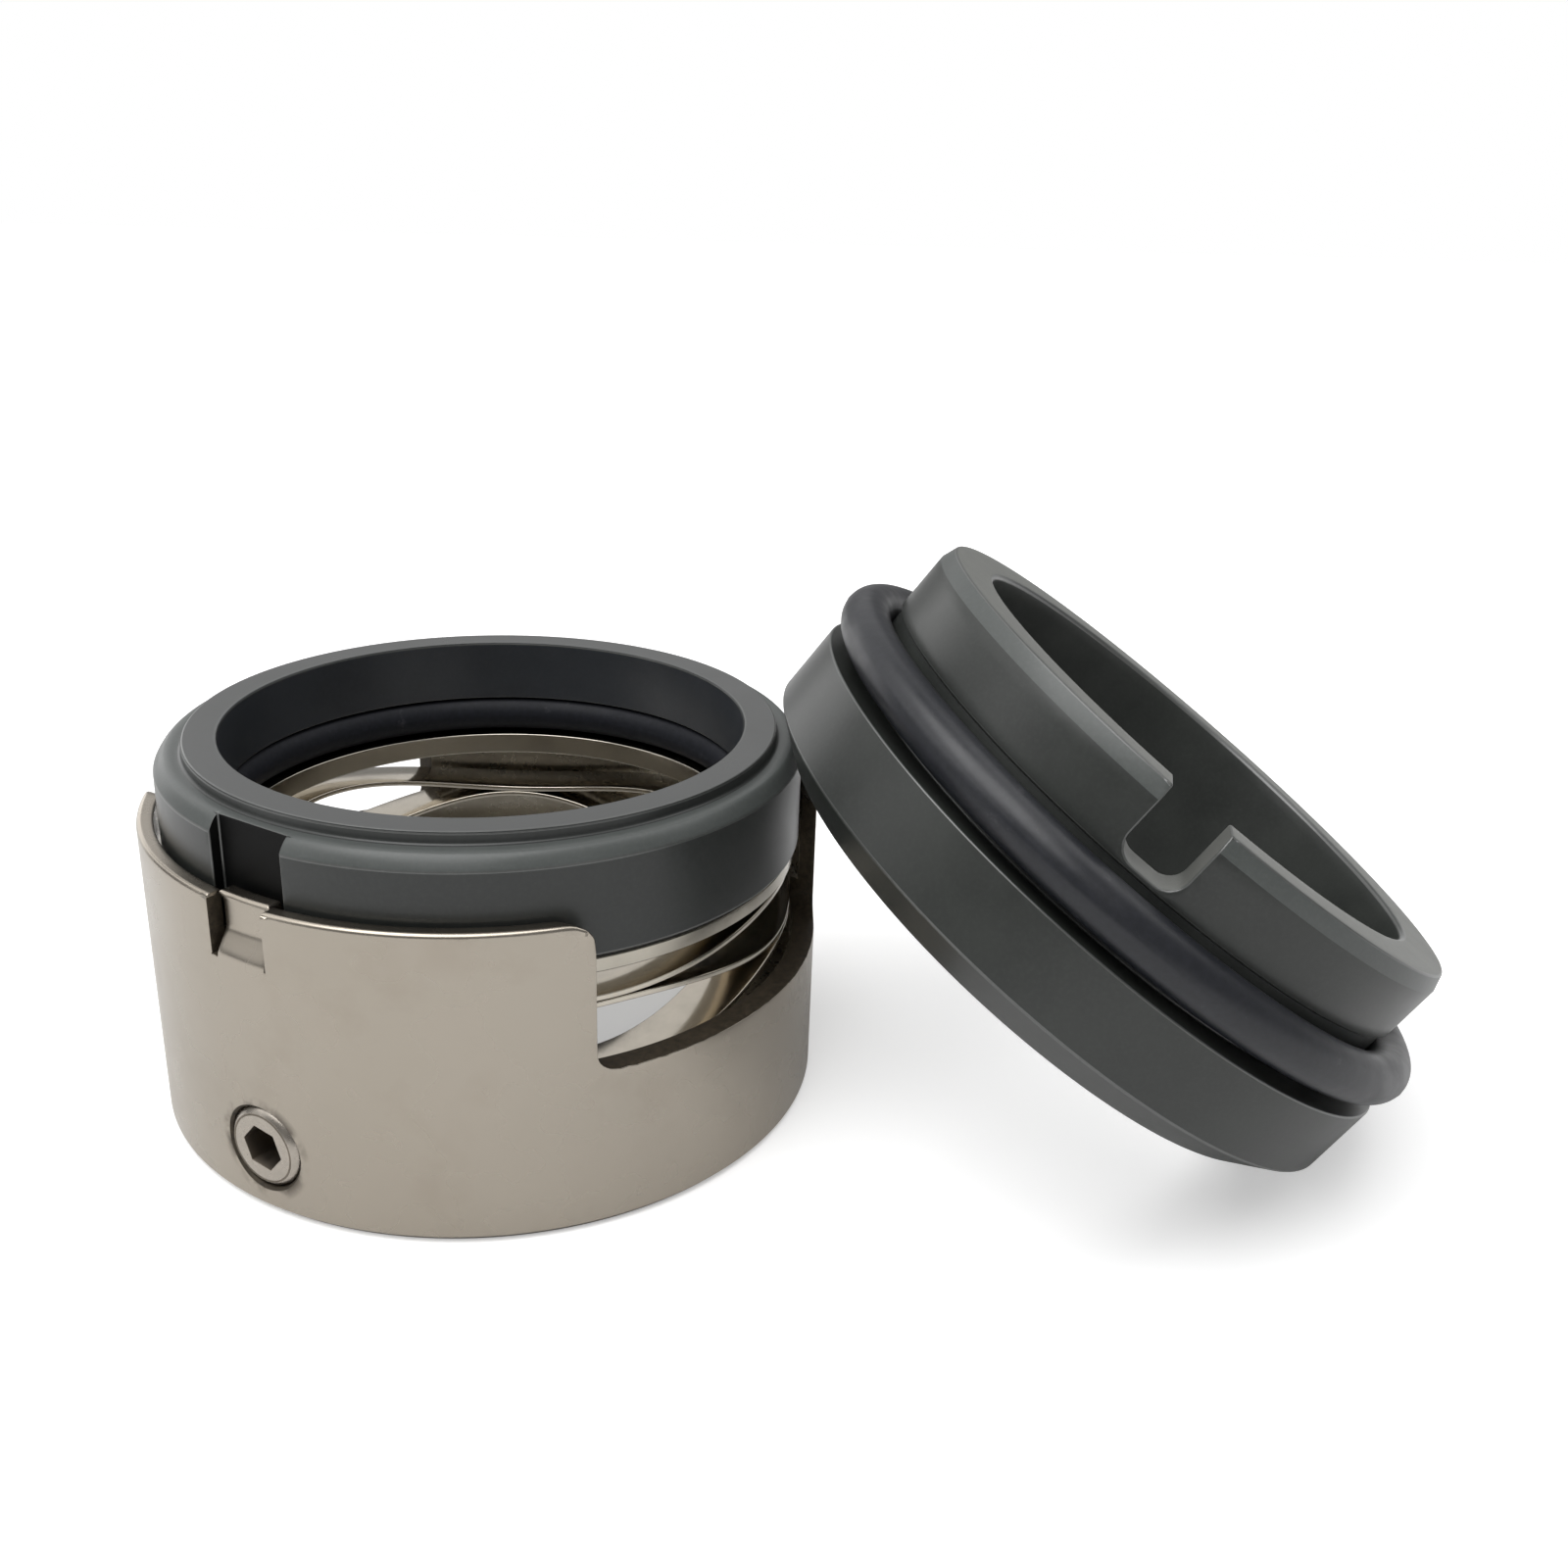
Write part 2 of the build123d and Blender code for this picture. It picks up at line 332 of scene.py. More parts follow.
def border(columns, rows):
    """The closed line round a grid."""
    foot = [(column, rows[0]) for column in columns]
    right = [(columns[-1], row) for row in rows[1:-1]]
    top = [(column, rows[-1]) for column in reversed(columns)]
    left = [(columns[0], row) for row in reversed(rows[1:-1])]
    return foot + right + top + left


def inside(points, loops):
    """Which points lie inside the first loop and outside the others."""
    result = np.ones(len(points), bool)
    for index, loop in enumerate(loops):
        start = np.array(loop)
        end = np.roll(start, -1, axis=0)
        crossings = np.zeros(len(points), int)
        for (x1, y1), (x2, y2) in zip(start, end):
            if y1 == y2:
                continue
            spans = (points[:, 1] >= min(y1, y2)) & (points[:, 1] < max(y1, y2))
            where = x1 + (points[:, 1] - y1) * (x2 - x1) / (y2 - y1)
            crossings += spans & (points[:, 0] < where)
        odd = crossings % 2 == 1
        result &= odd if index == 0 else ~odd
    return result


def clearance(points, loops):
    """Each point's distance from the nearest loop."""
    nearest = np.full(len(points), np.inf)
    for loop in loops:
        start = np.array(loop)
        end = np.roll(start, -1, axis=0)
        for a, b in zip(start, end):
            along = b - a
            square = max(along @ along, 1e-12)
            share = np.clip(((points - a) @ along) / square, 0, 1)
            foot = a + share[:, None] * along
            nearest = np.minimum(nearest, np.hypot(*(points - foot).T))
    return nearest


def triangles(loops, kept, creases=()):
    """Triangles between closed plane loops, the outer one first, over the kept points inside them.
    No triangle crosses a crease, which is a straight row."""
    points = [tuple(point) for loop in loops for point in loop] + [tuple(point) for point in kept]
    edges = []
    first = 0
    for loop in loops:
        count = len(loop)
        edges.extend((first + index, first + (index + 1) % count) for index in range(count))
        first += count
    flat = np.array(points)
    for crease in creases:
        line = np.where(np.abs(flat[:, 1] - crease) < 1e-6)[0]
        line = line[np.argsort(flat[line, 0])]
        free = inside((flat[line[:-1]] + flat[line[1:]]) / 2, loops)
        edges.extend((int(a), int(b)) for a, b, good in zip(line[:-1], line[1:], free) if good)
    found = delaunay_2d_cdt([Vector(point) for point in points], edges, [], 0, 1e-7)
    corner = np.array([tuple(point) for point in found[0]])
    faces = np.array([face for face in found[2] if len(face) == 3])
    good = inside(corner[faces].mean(axis=1), loops)
    return corner, [tuple(int(index) for index in face) for face in faces[good]]


def fill(loops, columns, rows, creases=(), margin=0.4, extra=()):
    """Triangles between plane loops, over a grid that keeps clear of them and of the extra points."""
    levels = sorted(set(rows) | set(creases))
    grid = np.array([(column, row) for row in levels for column in columns])
    kept = grid[inside(grid, loops)]
    kept = kept[clearance(kept, loops) > margin]
    if len(extra):
        spots = np.array(extra)
        apart = np.hypot(*(kept[:, None] - spots[None]).transpose(2, 0, 1)).min(axis=1)
        kept = np.vstack([spots, kept[apart > margin]])
    return triangles(loops, kept, creases)


def plan_fill(loops, rings, level, margin=0.12):
    """Points and triangles of a level face between two outlines seen from above, over a few rings."""
    grid = np.array([polar(ring, azimuth, 0)[:2] for ring in rings for azimuth in full_circle])
    kept = grid[inside(grid, loops)]
    corner, faces = triangles(loops, kept[clearance(kept, loops) > margin])
    return [(x, y, level) for x, y in corner], faces


def finish_mesh(name, shell, finishes, weight, width, segments=3, matrix=None, worn=False):
    """Weld a shell, round its sharp edges and return it as an object at the origin.
    weight gives an edge its share of the width; worn edges have a finish of their own."""
    mesh = bpy.data.meshes.new(name)
    mesh.from_pydata([tuple(value * MM for value in point) for point in shell.points], [], shell.faces)
    for finish in finishes:
        mesh.materials.append(finish)
    mesh.polygons.foreach_set("material_index", shell.finishes)
    built = bmesh.new()
    built.from_mesh(mesh)
    bmesh.ops.remove_doubles(built, verts=built.verts, dist=WELD * MM)
    bmesh.ops.dissolve_degenerate(built, edges=built.edges, dist=WELD * MM / 4)
    bmesh.ops.recalc_face_normals(built, faces=built.faces)
    share = built.edges.layers.float.new("bevel_weight_edge")
    for edge in built.edges:
        if edge.is_manifold and edge.calc_face_angle(0) > SHARP:
            edge[share] = weight(edge.verts[0].co / MM, edge.verts[1].co / MM)
    if matrix is not None:
        built.transform(matrix)
    for face in built.faces:
        face.smooth = True
    built.to_mesh(mesh)
    built.free()
    piece = bpy.data.objects.new(name, mesh)
    bpy.context.scene.collection.objects.link(piece)
    bevel = piece.modifiers.new("edge break", "BEVEL")
    bevel.width = width * MM
    bevel.segments = segments
    bevel.limit_method = "WEIGHT"
    bevel.use_clamp_overlap = False
    bevel.miter_outer = "MITER_ARC"
    if worn:
        bevel.material = WORN
    weighted = piece.modifiers.new("flat faces stay flat", "WEIGHTED_NORMAL")
    weighted.mode = "FACE_AREA"
    weighted.weight = 60
    return plain(piece)


def every_edge(first, second):
    """The same rounding on all sharp edges."""
    return 1.0


def plain(piece):
    """Turn a piece's modifiers into its own mesh."""
    graph = bpy.context.evaluated_depsgraph_get()
    result = bpy.data.meshes.new_from_object(
        piece.evaluated_get(graph), preserve_all_data_layers=True, depsgraph=graph
    )
    piece.modifiers.clear()
    piece.data = result
    result.name = piece.name
    return piece


# ---------------------------------------------------------------- nodes

class Nodes:
    """Shorthand for building any node tree."""

    def __init__(self, tree):
        self.tree = tree

    def link(self, value, socket):
        """Feed a socket from another one, or set it to a constant."""
        if isinstance(value, bpy.types.NodeSocket):
            self.tree.links.new(value, socket)
        else:
            socket.default_value = value

    def node(self, kind, settings=None, **values):
        """A node with its settings, and with its inputs by name."""
        made = self.tree.nodes.new(kind)
        for key, value in (settings or {}).items():
            setattr(made, key, value)
        for key, value in values.items():
            self.link(value, made.inputs[key.replace("_", " ")])
        return made

    def math(self, operation, *values):
        """One step of arithmetic."""
        made = self.node("ShaderNodeMath", {"operation": operation})
        for value, socket in zip(values, made.inputs):
            self.link(value, socket)
        return made.outputs[0]


# ---------------------------------------------------------------- geometry node trees

class Tree(Nodes):
    """A geometry node tree under construction."""

    def __init__(self, name, inputs):
        super().__init__(bpy.data.node_groups.new(name, "GeometryNodeTree"))
        self.tree.interface.new_socket("Geometry", in_out="OUTPUT", socket_type="NodeSocketGeometry")
        for label, kind in inputs:
            self.tree.interface.new_socket(label, in_out="INPUT", socket_type="NodeSocket" + kind)
        self.inputs = self.tree.nodes.new("NodeGroupInput").outputs
        self.output = self.tree.nodes.new("NodeGroupOutput").inputs[0]

    def end(self, geometry, material):
        """Realize Instances and Set Material close every tree."""
        real = self.node("GeometryNodeRealizeInstances", Geometry=geometry)
        coated = self.node("GeometryNodeSetMaterial", Geometry=real.outputs[0], Material=material)
        self.tree.links.new(coated.outputs[0], self.output)
        return self.tree


def grow(name, tree, **values):
    """Run a tree on an empty mesh and keep the result as a plain mesh object."""
    piece = bpy.data.objects.new(name, bpy.data.meshes.new(name))
    bpy.context.scene.collection.objects.link(piece)
    modifier = piece.modifiers.new(name, "NODES")
    modifier.node_group = tree
    for item in tree.interface.items_tree:
        if item.item_type == "SOCKET" and item.in_out == "INPUT":
            modifier[item.identifier] = values[item.name.replace(" ", "_").lower()]
    return plain(piece)


def wave_tree():
    """A flat wire wound as a coil that waves up and down, and opens a little more with every turn."""
    tree = Tree("wave spring", [
        ("Start", "Float"), ("End", "Float"), ("Crest", "Float"), ("Waves", "Float"), ("Pitch", "Float"),
        ("Swing", "Float"), ("Growth", "Float"), ("Top", "Float"), ("Radius", "Float"), ("Width", "Float"),
        ("Thickness", "Float"), ("Edge", "Float"), ("Steps", "Int"), ("Material", "Material"),
    ])
    value = tree.inputs
    line = tree.node("GeometryNodeCurvePrimitiveLine")
    dense = tree.node("GeometryNodeResampleCurve", Curve=line.outputs[0], Count=value["Steps"])
    along = tree.node("GeometryNodeSplineParameter").outputs["Factor"]
    length = tree.math("SUBTRACT", value["End"], value["Start"])
    azimuth = tree.math("MULTIPLY_ADD", along, length, value["Start"])
    down = tree.math("DIVIDE", tree.math("SUBTRACT", value["Crest"], azimuth), 2 * pi)
    half_growth = tree.math("MULTIPLY", value["Growth"], 0.5)
    slope = tree.math("MULTIPLY_ADD", half_growth, down, value["Pitch"])
    fall = tree.math("MULTIPLY", slope, down)
    swing = tree.math("MULTIPLY_ADD", value["Growth"], down, value["Swing"])
    phase = tree.math("MULTIPLY", tree.math("MULTIPLY", down, value["Waves"]), 2 * pi)
    ripple = tree.math("SUBTRACT", 1.0, tree.math("COSINE", phase))
    dip = tree.math("MULTIPLY", tree.math("MULTIPLY", ripple, swing), 0.5)
    place = tree.node(
        "ShaderNodeCombineXYZ",
        X=tree.math("MULTIPLY", tree.math("COSINE", azimuth), value["Radius"]),
        Y=tree.math("MULTIPLY", tree.math("SINE", azimuth), value["Radius"]),
        Z=tree.math("SUBTRACT", tree.math("SUBTRACT", value["Top"], fall), dip),
    )
    route = tree.node("GeometryNodeSetPosition", Geometry=dense.outputs[0], Position=place.outputs[0])
    level = tree.node("GeometryNodeSetCurveNormal", {"mode": "Z_UP"}, Curve=route.outputs[0])
    wire = tree.node(
        "GeometryNodeCurvePrimitiveQuadrilateral", Width=value["Width"], Height=value["Thickness"]
    )
    soft = tree.node(
        "GeometryNodeFilletCurve", {"mode": "POLY"}, Curve=wire.outputs[0], Count=edge_points,
        Radius=value["Edge"],
    )
    coil = tree.node(
        "GeometryNodeCurveToMesh", Curve=level.outputs[0], Profile_Curve=soft.outputs[0], Fill_Caps=True
    )
    smooth = tree.node("GeometryNodeSetShadeSmooth", Geometry=coil.outputs[0])
    return tree.end(smooth.outputs[0], value["Material"])


def thread_tree():
    """An open tube with a screw thread, about Z. Its lower end follows the wall of a crossing bore,
    or is straight where the bore is negative."""
    tree = Tree("screw thread", [
        ("Radius", "Float"), ("Depth", "Float"), ("Pitch", "Float"), ("Bottom", "Float"), ("Top", "Float"),
        ("Bore", "Float"), ("Around", "Int"), ("Along", "Int"), ("Material", "Material"),
    ])
    value = tree.inputs
    length = tree.math("SUBTRACT", value["Top"], value["Bottom"])
    tube = tree.node(
        "GeometryNodeMeshCylinder", {"fill_type": "NONE"}, Vertices=value["Around"],
        Side_Segments=value["Along"], Radius=value["Radius"], Depth=length,
    )
    spot = tree.node("ShaderNodeSeparateXYZ", Vector=tree.node("GeometryNodeInputPosition").outputs[0])
    across, up, along = spot.outputs
    middle = tree.math("MULTIPLY", tree.math("ADD", value["Top"], value["Bottom"]), 0.5)
    height = tree.math("ADD", along, middle)
    turns = tree.math("DIVIDE", tree.math("ARCTAN2", up, across), 2 * pi)
    phase = tree.math("FRACT", tree.math("SUBTRACT", tree.math("DIVIDE", height, value["Pitch"]), turns))
    ridge = tree.math("SUBTRACT", 1.0, tree.math("ABSOLUTE", tree.math("MULTIPLY_ADD", phase, 2.0, -1.0)))
    flank = tree.math("MINIMUM", tree.math("MULTIPLY", ridge, thread_crest), 1.0)
    run_out = tree.math("MULTIPLY", value["Pitch"], thread_fade)
    ends = []
    for gap in (tree.math("SUBTRACT", height, value["Bottom"]), tree.math("SUBTRACT", value["Top"], height)):
        ends.append(tree.math("MINIMUM", tree.math("DIVIDE", gap, run_out), 1.0))
    fade = tree.math("MULTIPLY", *ends)
    groove = tree.math("MULTIPLY", tree.math("MULTIPLY", flank, fade), value["Depth"])
    scale = tree.math("ADD", 1.0, tree.math("DIVIDE", groove, value["Radius"]))
    wide = tree.math("MULTIPLY", across, scale)
    square = tree.math("POWER", tree.math("ABSOLUTE", wide), 2.0)
    saddle = tree.math("SUBTRACT", tree.math("POWER", value["Bore"], 2.0), square)
    wall = tree.math("SQRT", tree.math("MAXIMUM", saddle, 0.0))
    straight = tree.math("MULTIPLY", tree.math("LESS_THAN", value["Bore"], 0.0), far_away)
    low = tree.math("MAXIMUM", height, tree.math("SUBTRACT", wall, straight))
    place = tree.node("ShaderNodeCombineXYZ", X=wide, Y=tree.math("MULTIPLY", up, scale), Z=low)
    cut = tree.node("GeometryNodeSetPosition", Geometry=tube.outputs["Mesh"], Position=place.outputs[0])
    return tree.end(cut.outputs[0], value["Material"])


# ---------------------------------------------------------------- materials

class Finish(Nodes):
    """A material under construction around one Principled shader."""

    def __init__(self, name):
        self.material = bpy.data.materials.new(name)
        self.material.use_nodes = True
        super().__init__(self.material.node_tree)
        self.shader = self.tree.nodes["Principled BSDF"]
        self.place = self.node("ShaderNodeTexCoord").outputs["Object"]

    def set(self, **values):
        """Feed the shader's inputs by name."""
        for key, value in values.items():
            self.link(value, self.shader.inputs[key.replace("_", " ")])

    def noise(self, size, detail=3.0, roughness=0.55):
        """Cloudy noise whose blotches are about size millimetres across."""
        return self.node(
            "ShaderNodeTexNoise", Vector=self.place, Scale=1 / (size * MM), Detail=detail, Roughness=roughness
        ).outputs["Fac"]

    def range(self, value, low, high, start=0.3, end=0.7):
        """Spread what lies between start and end over low to high."""
        limits = {"From_Min": start, "From_Max": end, "To_Min": low, "To_Max": high}
        return self.node("ShaderNodeMapRange", Value=value, **limits).outputs[0]

    def blend(self, share, first, second):
        """Mix two colours."""
        made = self.node("ShaderNodeMix", {"data_type": "RGBA"})
        for value, index in ((share, 0), (first, 6), (second, 7)):
            self.link(value, made.inputs[index])
        return made.outputs[2]

    def bump(self, height, distance, strength):
        """Fine relief, distance in millimetres."""
        made = self.node("ShaderNodeBump", Height=height, Distance=distance * MM, Strength=strength)
        self.set(Normal=made.outputs[0])


def satin_steel():
    """Electropolished stainless steel, warm and satin, with faint smudges and painted shade round each screw
    hole.
    """
    finish = Finish("satin_stainless")
    smudge = finish.range(finish.noise(7.0, 5.0, 0.62), 0.0, 1.0, 0.52, 0.72)
    cloud = finish.range(finish.noise(26.0, 2.0), 0.0, 1.0)
    tone = finish.blend(cloud, (0.385, 0.345, 0.29, 1), (0.41, 0.37, 0.315, 1))
    tone = finish.blend(finish.math("MULTIPLY", smudge, 0.16), tone, (0.27, 0.22, 0.17, 1))
    x, y, z = finish.node("ShaderNodeSeparateXYZ", Vector=finish.place).outputs
    around = radians(screw_azimuth)
    beside = finish.math("MULTIPLY", y, cos(around))
    across = finish.math("SUBTRACT", beside, finish.math("MULTIPLY", x, sin(around)))
    rise = finish.math("SUBTRACT", z, screw_height * MM)
    squares = [finish.math("POWER", finish.math("ABSOLUTE", side), 2.0) for side in (across, rise)]
    away = finish.math("SQRT", finish.math("ADD", *squares))
    # Painted shade: a patchy dark ring round each screw hole, where its rolled edge would lie in shade.
    patchy = finish.range(finish.noise(2.2, 3.0), 0.0, 1.0, 0.42, 0.6)
    mouth = hole_radius + hole_mouth
    hole_shade = finish.range(away, 0.95, 0.0, mouth * MM, (mouth + hole_shade_width) * MM)
    finish.set(Base_Color=finish.blend(finish.math("MULTIPLY", hole_shade, patchy), tone, (0.10, 0.085, 0.07, 1)))
    finish.set(Metallic=1.0, Roughness=finish.range(finish.noise(6.0, 2.0), 0.24, 0.31))
    return finish.material


def sheared_steel():
    """The rough brown face that a punch leaves, and the inside of slits; also painted into the screw holes'
    mouths as shade.
    """
    finish = Finish("sheared_stainless")
    grain = finish.noise(0.55, 6.0, 0.7)
    tone = finish.blend(finish.range(grain, 0.0, 1.0), (0.020, 0.015, 0.009, 1), (0.072, 0.056, 0.036, 1))
    finish.set(Base_Color=tone, Metallic=0.4, Roughness=finish.range(grain, 0.48, 0.66))
    finish.bump(grain, 0.06, 0.7)
    return finish.material


def bright_steel(name, tone, low, high, streak):
    """Polished stainless strip with faint rolling streaks."""
    finish = Finish(name)
    streaks = finish.noise(streak, 4.0, 0.6)
    dark = tuple(value * 0.9 for value in tone) + (1,)
    finish.set(Base_Color=finish.blend(finish.range(streaks, 0, 1), tone + (1,), dark), Metallic=1.0)
    finish.set(Roughness=finish.range(streaks, low, high))
    return finish.material


def ceramic(name, tone, light, low, high, ior=1.8):
    """Sintered silicon carbide: dark grey, very fine grained, with a soft sheen."""
    finish = Finish(name)
    grain = finish.noise(0.35, 4.0, 0.6)
    cloud = finish.noise(9.0, 4.0, 0.55)
    mottled = finish.blend(finish.range(cloud, 0, 1), tone + (1,), light + (1,))
    fleck = tuple(value * 1.25 for value in light) + (1,)
    share = finish.range(grain, 0, 0.45, 0.45, 0.75)
    finish.set(Base_Color=finish.blend(share, mottled, fleck), Roughness=finish.range(cloud, low, high))
    finish.set(IOR=ior)
    finish.bump(grain, 0.005, 0.4)
    return finish.material


def rubber(name, low, high, ior):
    """Moulded black rubber with a soft bluish shine."""
    finish = Finish(name)
    fine = finish.noise(0.5, 5.0, 0.6)
    dust = finish.range(finish.noise(1.6, 6.0, 0.7), 0, 1, 0.62, 0.74)
    tone = finish.blend(finish.range(fine, 0, 1), (0.008, 0.009, 0.012, 1), (0.013, 0.014, 0.019, 1))
    finish.set(Base_Color=finish.blend(dust, tone, (0.035, 0.035, 0.04, 1)))
    finish.set(Roughness=finish.range(finish.noise(3.0), low, high), IOR=ior)
    finish.bump(fine, 0.012, 0.4)
    return finish.material


# ---------------------------------------------------------------- retainer

half_columns = spread(seam_azimuth - 180, seam_azimuth, step_columns)
half_width = sleeve_radius * sin(radians(window_angle / 2))
far_drive = drive_azimuth + 180
far_screw = screw_azimuth + 180


def bend(height):
    """How far the drive tab is bent inwards at a height, with soft creases."""
    slope = tab_shift / (tab_bend - tab_root)

    def ramp(start):
        """A slope of one that sets in softly round its start."""
        beyond = height - start + tab_crease
        if beyond <= 0:
            return 0.0
        if beyond >= 2 * tab_crease:
            return height - start
        return beyond * beyond / (4 * tab_crease)

    return slope * (ramp(tab_root + tab_crease) - ramp(tab_bend))


def on_tab(azimuth, height):
    """Whether a place on the sleeve belongs to the bent strip."""
    across = radians(azimuth - far_drive) * sleeve_radius
    return tab_left - 0.9 * slit_width < across < tab_right + tab_shear / 2 and height > tab_root


def bore_at(height):
    """The sleeve's bore away from the tab."""
    return chamber_radius if height < step_height else sleeve_bore


def outer_radius(azimuth, height):
    """The outside of the sleeve."""
    return sleeve_radius - (bend(height) if on_tab(azimuth, height) else 0)


def inner_radius(azimuth, height):
    """The inside of the sleeve."""
    return bore_at(height) - (bend(height) if on_tab(azimuth, height) else 0)


def trace(points, step):
    """A line through the points, with more points between them, no further apart than step."""
    path = [points[0]]
    for (x1, y1), (x2, y2) in zip(points, points[1:]):
        for share in spread(0, 1, step / hypot(x2 - x1, y2 - y1))[1:]:
            path.append((x1 + (x2 - x1) * share, y1 + (y2 - y1) * share))
    return path


def retainer_outline():
    """The upper edge over half a turn: (azimuth outside, azimuth inside, height, finish beyond it)."""
    top = retainer_height
    edge = []

    def window(points, finish):
        """Points of a window's edge, cut straight through both walls."""
        for x, height in points:
            outside = window_azimuth + degrees(asin(x / sleeve_radius))
            inside = window_azimuth + degrees(asin(x / bore_at(height)))
            edge.append((outside, inside, height, finish))

    def strip(points):
        """Points of the slit and of the sheared side of the drive tab."""
        for x, height in points:
            azimuth = far_drive + degrees(x / sleeve_radius)
            edge.append((azimuth, azimuth, height, SHEARED_AND_SHADE))

    def rim(end_outside, end_inside):
        """The rim from the last point on to the given azimuths."""
        outside, inside = edge[-1][:2] if edge else (half_columns[0], half_columns[0])
        count = max(1, ceil(abs(end_outside - outside) / step_columns))
        for index in range(count + 1):
            share = index / count
            edge.append((
                outside + (end_outside - outside) * share,
                inside + (end_inside - inside) * share,
                top,
                OUTSIDE,
            ))

    flare = window_flare
    mouth = half_width + flare
    corner = half_width - window_corner
    outside = degrees(asin(mouth / sleeve_radius))
    inside = degrees(asin(mouth / sleeve_bore))
    low = window_sill + window_corner
    heights = (low, step_height - step_blend, step_height + step_blend, top - flare)
    side = [(half_width, height) for height in heights]
    right = arc((corner, low), window_corner, 270, 360, 8) + trace(side, side_step)
    flared = arc((mouth, top - flare), flare, 180, 90, 8)
    rim(window_azimuth - outside, window_azimuth - inside)
    window([(-x, height) for x, height in reversed(flared)], OUTSIDE)
    window([(-x, height) for x, height in reversed(right)], SHEARED_AND_SHADE)
    window(trace([(-corner, window_sill), (corner, window_sill)], sill_step), SHEARED_AND_SHADE)
    window(right, SHEARED_AND_SHADE)
    window(flared, OUTSIDE)
    slit = tab_left - slit_width
    horn = tab_left - horn_width
    ends = [far_drive + degrees(x / sleeve_radius) for x in (slit, tab_right, tab_right + tab_shear)]
    rim(ends[0], ends[0])
    foot = [(slit, top), (slit, tab_root), (tab_left, tab_root), (tab_left, top - horn_height)]
    strip(trace(foot, slit_step))
    curl = arc((0, 0), 1.0, 0, 90, 6)[1:]
    strip([(horn + x * horn_width, top - horn_height + y * (horn_height - horn_tip)) for x, y in curl])
    strip([(horn, top)])
    rim(ends[1], ends[1])
    strip(trace([(tab_right, top), (tab_right, tab_root)], slit_step))
    strip(trace([(tab_right + tab_shear, tab_root), (tab_right + tab_shear, top)], slit_step))
    rim(half_columns[-1], half_columns[-1])
    apart = [edge[0]]
    for point in edge[1:]:
        if max(abs(a - b) for a, b in zip(point[:3], apart[-1][:3])) > 1e-6:
            apart.append(point)
    return apart


def burr(point):
    """How far the sheared lower edge of a window breaks out below its line."""
    azimuth, height, finish = point[0], point[2], point[3]
    if finish != SHEARED_AND_SHADE or height > window_sill + HAIR:
        return 0.0
    broad = noise.noise(Vector((azimuth * burr_waves[0], 0.0, 0.0)))
    fine = noise.noise(Vector((azimuth * burr_waves[1], 3.0, 0.0)))
    return sill_burr * (0.5 + broad + 0.5 * fine)


def wall(shell, edge, side, radius_at, scale, bottom, holes, creases, finish):
    """One wall of the sleeve, up to its outline: side 0 is the outside, side 1 the inside."""
    top_line = []
    for point in edge:
        height = point[2] - (burr(point) if side == 0 else 0)
        top_line.append((radians(point[side]) * scale, height))
    columns = [radians(azimuth) * scale for azimuth in half_columns]
    rows = spread(bottom, retainer_height, wall_row)
    levels = sorted(rows[1:-1] + list(creases))
    right = [(columns[-1], level) for level in reversed(levels)]
    left = [(columns[0], level) for level in levels]
    foot = [(column, bottom) for column in reversed(columns)]
    places = spread(tab_left + strip_inset, tab_right - strip_inset, strip_step)
    across = [(radians(far_drive) + x / sleeve_radius) * scale for x in places]
    ridges = [tab_root + rise for rise in root_rises] + [tab_bend + rise for rise in bend_rises]
    on_strip = [(x, height) for height in ridges for x in across]
    loops = [top_line + right + foot + left] + holes
    flat, faces = fill(loops, columns[1:-1], rows[1:-1], creases, extra=on_strip)
    solid = []
    for along, height in flat:
        azimuth = degrees(along / scale)
        solid.append(polar(radius_at(azimuth, height), azimuth, height))
    shell.add(solid, faces, finish)


def hole_frame(azimuth):
    """A point beside a screw's axis, from across, up and out."""
    around = radians(azimuth)

    def at(across, up, out):
        """The point itself."""
        return (
            -sin(around) * across + cos(around) * out,
            cos(around) * across + sin(around) * out,
            screw_height + up,
        )

    return at


def hole_loop(radius, wall_radius, scale):
    """A screw hole's outline on a wall, unrolled."""
    loop = []
    for index in range(around_screw):
        angle = 2 * pi * index / around_screw
        azimuth = far_screw + degrees(asin(radius * cos(angle) / wall_radius))
        loop.append((radians(azimuth) * scale, screw_height + radius * sin(angle)))
    return loop


def collar(shell):
    """The collar's bore with one drilled hole, its base and the ledge for the spring."""
    drilled = hole_loop(hole_radius, collar_bore, collar_bore)
    columns = [radians(azimuth) * collar_bore for azimuth in half_columns]
    rows = spread(0, collar_height - collar_chamfer, bore_row)
    flat, faces = fill([border(columns, rows), drilled], columns[1:-1], rows[1:-1])
    shell.add([polar(collar_bore, degrees(x / collar_bore), z) for x, z in flat], faces, INSIDE)
    turn(shell, [
        (sleeve_radius, base_chamfer),
        (sleeve_radius - base_chamfer, 0),
        (base_ring, 0),
        (collar_bore, 0),
    ], half_columns, closed=False)
    turn(shell, [
        (collar_bore, collar_height - collar_chamfer),
        (collar_bore + collar_chamfer, collar_height),
        (ledge_ring, collar_height),
        (chamber_radius, collar_height),
    ], half_columns, INSIDE, closed=False)


def cut_edge(shell, edge):
    """The edge between the sleeve's two walls, brown where it was sheared."""
    lines = [[] for _ in wall_shares]
    for point in edge:
        outside, inside_azimuth, height = point[:3]
        start = Vector(polar(outer_radius(outside, height), outside, height - burr(point)))
        end = Vector(polar(inner_radius(inside_azimuth, height), inside_azimuth, height))
        for share, line in zip(wall_shares, lines):
            line.append(tuple(start.lerp(end, share)))
    quads = ([], [])
    count = len(edge)
    for row in range(len(wall_shares) - 1):
        for column in range(count - 1):
            low = row * count + column
            sheared = min(edge[column][3], edge[column + 1][3])
            quads[sheared].append((low, low + 1, low + 1 + count, low + count))
    for finish, faces in enumerate(quads):
        shell.add([point for line in lines for point in line], faces, finish)


